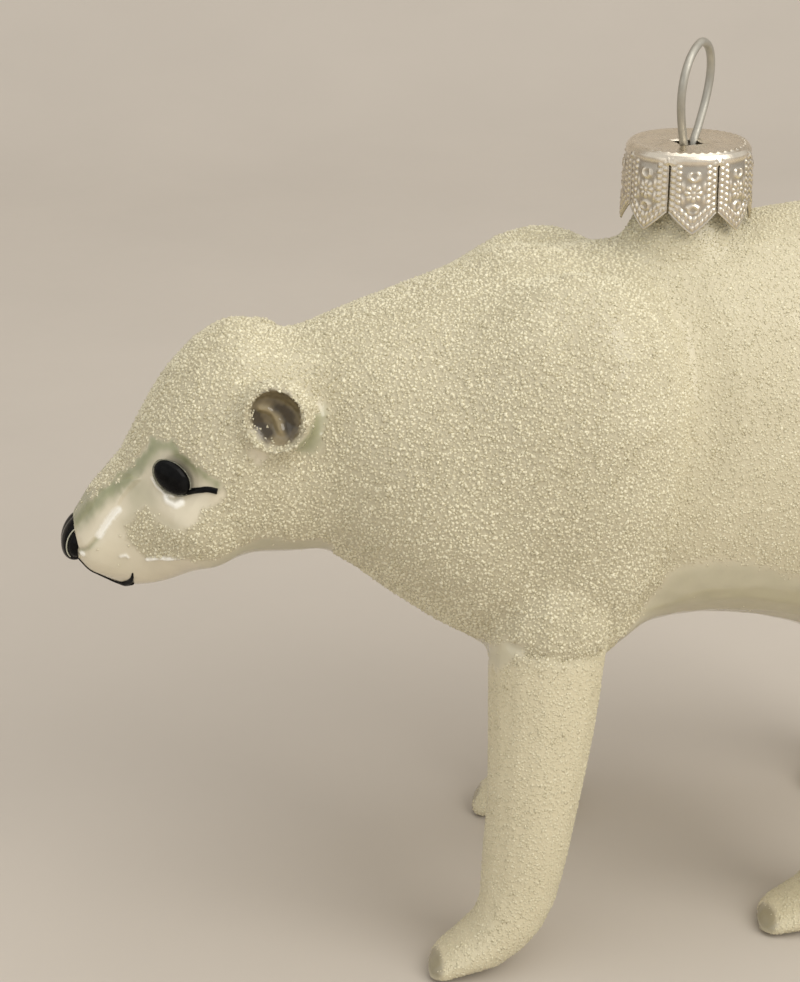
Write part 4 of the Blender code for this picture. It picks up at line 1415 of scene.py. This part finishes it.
def glaze(settings):
    """Milky glazed glass, green where it is thin, dark in the ears, grainy under the crust, with
    painted highlights and shade on the face and in the ears, and painted shade between granules.
    """
    shader = Shader("milky_glaze")
    cream = shader.mottle(2.4 * MM, settings.cream, tinted(settings.cream, 0.9), 0.28, 4.0)
    green = shader.mottle(1.3 * MM, settings.green, tinted(settings.green, 0.72), 0.8)
    glass = shader.mix(shader.attribute("green"), cream, green)
    # Painted highlights: the pale colour along the pad's step, on the ridges and on the drop.
    glass = shader.mix(shader.attribute("pale"), glass, settings.pale)
    grain = shader.noise(0.24 * MM, 2.0)
    grainy = shader.spread(grain, 0.0, 1.0, 0.35, 0.65)
    # The glaze under the crust is darkened as painted shade in the gaps between granules, a little
    # less on the even crust of the legs and flanks.
    under = shader.mix(grainy, tinted(settings.under, 0.82), settings.under)
    under = shader.mix(shader.attribute("calm"), under, tinted(settings.under, 1.14))
    covered = shader.mix(shader.attribute("bare"), under, glass)
    # The swirl in the ear is a painted highlight and the crescent beside it painted shade.
    ear = shader.mix(shader.attribute("hollow_tone"), settings.hollow, settings.amber_and_highlight)
    shader.colour(shader.mix(shader.attribute("hollow"), covered, ear))
    shader.roughness(shader.attribute("bare"), 0.5, 0.12, 0.2, 0.8)
    crusted = shader.sum(shader.sum(shader.attribute("bare"), -1.0, "MULTIPLY"), 1.0)
    swell = shader.sum(shader.noise(1.7 * MM, 2.0), 0.35, "MULTIPLY")
    shader.bump(shader.sum(shader.sum(grain, crusted, "MULTIPLY"), swell), 0.5, 0.16 * MM)
    shader.set(IOR=1.5, Coat_Weight=0.5, Coat_Roughness=0.04)
    return shader.material


def crust_glass(settings):
    """Chipped glass granules, each with its own tone."""
    shader = Shader("crust_granules")
    patch = shader.spread(shader.noise(5.0 * MM, 3.0), -0.14, 0.14)
    tone = shader.sum(shader.attribute("tone"), patch)
    shader.colour(shader.mix(tone, settings.dark, settings.light))
    shader.roughness(shader.noise(0.25 * MM, 1.0), 0.25, 0.55)
    shader.set(IOR=1.5, Coat_Weight=0.15, Coat_Roughness=0.12)
    return shader.material


def enamel(settings):
    """Glossy black enamel with a faint brush-laid wave."""
    shader = Shader("black_gloss")
    shader.colour(shader.mottle(0.8 * MM, settings.black, tinted(settings.black, 3.0)))
    shader.roughness(shader.noise(0.6 * MM), 0.08, 0.2)
    shader.bump(shader.noise(0.9 * MM, 1.0), 0.15, 0.05 * MM)
    shader.set(IOR=1.45, Specular_IOR_Level=0.1)
    return shader.material


def clear_rim():
    """Pale clear glaze of the eyes' rims and the nose's seams."""
    shader = Shader("clear_glaze")
    shader.colour(shader.mottle(0.9 * MM, (0.62, 0.60, 0.48), (0.40, 0.40, 0.30)))
    shader.roughness(shader.noise(0.7 * MM), 0.05, 0.16)
    shader.set(IOR=1.52, Coat_Weight=0.6, Coat_Roughness=0.03)
    return shader.material


def silver(settings):
    """Stamped silvered metal, bright on its ornament and tarnished in the hollows."""
    shader = Shader("stamped_silver")
    wear = shader.spread(shader.noise(1.3 * MM, 5.0, 0.65), 0.0, 0.8, 0.42, 0.72)
    bright = shader.mix(wear, settings.silver, tinted(settings.silver, 0.8))
    raised = shader.spread(shader.attribute("relief"), 0.0, 1.0, -0.25, 0.45)
    shader.colour(shader.mix(raised, settings.tarnish, bright))
    shader.roughness(shader.noise(0.8 * MM, 4.0), 0.2, 0.36)
    shader.bump(shader.noise(0.3 * MM, 2.0), 0.35, 0.03 * MM)
    shader.set(Metallic=1.0)
    return shader.material


def wire_metal(settings):
    """Drawn steel wire, matt."""
    shader = Shader("drawn_wire")
    dull = tinted(settings.steel, 0.78)
    shader.colour(shader.mottle(1.8 * MM, settings.steel, dull, 0.8, 4.0))
    shader.roughness(shader.noise(0.5 * MM), 0.42, 0.6)
    shader.bump(shader.noise(0.15 * MM, 2.0), 0.2, 0.02 * MM)
    shader.set(Metallic=0.85)
    return shader.material


def paper(settings):
    """Matt pale paper with a faint mottle."""
    shader = Shader("pale_paper")
    darker = tinted(settings.floor, 0.97)
    shader.colour(shader.mottle(40.0 * MM, settings.floor, darker, detail=2.0))
    shader.roughness(shader.noise(3.0 * MM), 0.75, 0.9)
    shader.set(IOR=1.3)
    return shader.material


# ---------------------------------------------------------------- stage

CENTRE = (Vector(CAD_BOUNDS[0]) + Vector(CAD_BOUNDS[1])) / 2
# The paper's sweep in metres: its front and back edges, its bend, its height and half its width.
SWEEP_FRONT, SWEEP_BACK, SWEEP_BEND, SWEEP_TOP, SWEEP_HALF = -0.6, 0.52, 0.22, 1.1, 1.2
BEND_STEPS = 16
CAMERA_AIM = (-17.05 * MM, 45.84 * MM)  # along the bear from its middle, and up from the floor
CAMERA_AZIMUTH = math.radians(-10.0)
CAMERA_ELEVATION = math.radians(22.3)
CAMERA_DISTANCE = 207.72 * MM
CAMERA_LENS = 76.986


def make_floor(settings):
    """A pale seamless sweep: floor, curve and backdrop."""
    bm = bmesh.new()
    bend, start = SWEEP_BEND, SWEEP_BACK - SWEEP_BEND
    profile = [(SWEEP_FRONT, 0.0), (0.0, 0.0), (start, 0.0)]
    for step in range(1, BEND_STEPS + 1):
        angle = step / BEND_STEPS * math.pi / 2
        profile.append((start + bend * math.sin(angle), bend - bend * math.cos(angle)))
    profile.append((SWEEP_BACK, SWEEP_TOP))
    verts = [bm.verts.new((-SWEEP_HALF, y, z)) for y, z in profile]
    edges = [bm.edges.new(pair) for pair in zip(verts, verts[1:])]
    swept = bmesh.ops.extrude_edge_only(bm, edges=edges)["geom"]
    moved = [item for item in swept if isinstance(item, bmesh.types.BMVert)]
    bmesh.ops.translate(bm, vec=(2 * SWEEP_HALF, 0.0, 0.0), verts=moved)
    bmesh.ops.recalc_face_normals(bm, faces=bm.faces)
    if bm.faces[0].normal.z < 0:
        bmesh.ops.reverse_faces(bm, faces=bm.faces)
    mesh = mesh_from(bm, "paper_sweep")
    mesh.materials.append(paper(settings))
    floor = placed("paper_sweep", mesh)


def soft_light(name, place, size, power, tint):
    """A large soft light turned to the middle of the bear."""
    data = bpy.data.lights.new(name, "AREA")
    data.shape = "RECTANGLE"
    data.size, data.size_y = size
    data.energy = power
    data.color = tint
    lamp = placed(name, data)
    lamp.location = place
    lamp.rotation_euler = (CENTRE - place).to_track_quat("-Z", "Y").to_euler()


def make_lights(settings):
    """Soft studio light: a wide window on the right, a softbox overhead and a weak fill."""
    # Each lamp's name, its place from the middle of the bear, its size in metres, its power.
    lamps = (
        ("key_light", (0.36, -0.40, 0.40), (0.42, 0.42), settings.key),
        ("top_light", (0.08, -0.10, 0.60), (0.6, 0.6), settings.top),
        ("fill_light", (-0.42, -0.30, 0.12), (0.3, 0.4), settings.fill),
    )
    for name, offset, size, power in lamps:
        soft_light(name, CENTRE + Vector(offset), size, power, settings.tint)
    world = bpy.data.worlds.new("room")
    world.use_nodes = True
    background = world.node_tree.nodes["Background"]
    background.inputs["Color"].default_value = (*settings.room, 1.0)
    background.inputs["Strength"].default_value = settings.ambient
    bpy.context.scene.world = world


def make_camera():
    """The camera: left of the bear's head and above it."""
    along, up = CAMERA_AIM
    aim = Vector((CENTRE.x + along, CENTRE.y, up))
    flat = math.cos(CAMERA_ELEVATION)
    toward = Vector((
        math.sin(CAMERA_AZIMUTH) * flat,
        -math.cos(CAMERA_AZIMUTH) * flat,
        math.sin(CAMERA_ELEVATION),
    ))
    data = bpy.data.cameras.new("camera")
    data.sensor_width = 36.0
    data.lens = CAMERA_LENS
    data.clip_start = 5.0 * MM
    camera = placed("camera", data)
    camera.location = aim + toward * CAMERA_DISTANCE
    camera.rotation_euler = (-toward).to_track_quat("-Z", "Y").to_euler()
    bpy.context.scene.camera = camera


# ---------------------------------------------------------------- operators and panel


class BEAR_OT_glass_skin(bpy.types.Operator):
    """Make the glass body"""

    bl_idname = "glass_bear.glass_skin"
    bl_label = "Glass Body"

    def execute(self, context):
        make_skin(context.scene.bear_glass)
        return {"FINISHED"}


class BEAR_OT_crust(bpy.types.Operator):
    """Make the crust of glass granules"""

    bl_idname = "glass_bear.crust"
    bl_label = "Crust"

    def execute(self, context):
        make_crust(context.scene.bear_crust)
        return {"FINISHED"}


class BEAR_OT_enamel(bpy.types.Operator):
    """Make the eyes, the nose pad and the painted lines"""

    bl_idname = "glass_bear.enamel"
    bl_label = "Enamel Face"

    def execute(self, context):
        settings = context.scene.bear_enamel
        black, pale = enamel(settings), clear_rim()
        make_eyes(settings, black, pale)
        make_nose(black, pale)
        make_lines(settings, black)
        return {"FINISHED"}


class BEAR_OT_cap(bpy.types.Operator):
    """Make the crown cap and the wire loop"""

    bl_idname = "glass_bear.cap"
    bl_label = "Cap and Hanger"

    def execute(self, context):
        settings = context.scene.bear_cap
        make_cap(settings)
        make_hanger(settings)
        return {"FINISHED"}


class BEAR_OT_stage(bpy.types.Operator):
    """Make the floor, the lights and the camera"""

    bl_idname = "glass_bear.stage"
    bl_label = "Stage"

    def execute(self, context):
        settings = context.scene.bear_stage
        make_floor(settings)
        make_lights(settings)
        make_camera()
        context.scene.view_settings.view_transform = "Standard"
        return {"FINISHED"}


class BEAR_PT_sidebar(bpy.types.Panel):
    """Sizes, colours and steps of the ornament"""

    bl_label = "Glass Bear"
    bl_idname = "BEAR_PT_sidebar"
    bl_space_type = "VIEW_3D"
    bl_region_type = "UI"
    bl_category = "Glass Bear"

    def draw(self, context):
        for operator, name, _ in STEPS:
            box = self.layout.box()
            box.operator(operator.bl_idname)
            settings = getattr(context.scene, name)
            for key in settings.__annotations__:
                box.prop(settings, key)


STEPS = (
    (BEAR_OT_glass_skin, "bear_glass", BearGlassSettings),
    (BEAR_OT_crust, "bear_crust", BearCrustSettings),
    (BEAR_OT_enamel, "bear_enamel", BearEnamelSettings),
    (BEAR_OT_cap, "bear_cap", BearCapSettings),
    (BEAR_OT_stage, "bear_stage", BearStageSettings),
)
OPERATORS, _, GROUPS = zip(*STEPS)
CLASSES = (*GROUPS, *OPERATORS, BEAR_PT_sidebar)


def register():
    for item in CLASSES:
        bpy.utils.register_class(item)
    for _, name, group in STEPS:
        setattr(bpy.types.Scene, name, PointerProperty(type=group))


def unregister():
    for _, name, _ in STEPS:
        delattr(bpy.types.Scene, name)
    for item in reversed(CLASSES):
        bpy.utils.unregister_class(item)


def main():
    """Register the add-on and make every piece."""
    register()
    bpy.ops.glass_bear.glass_skin()
    bpy.ops.glass_bear.crust()
    bpy.ops.glass_bear.enamel()
    bpy.ops.glass_bear.cap()
    bpy.ops.glass_bear.stage()


if __name__ == "__main__":
    main()
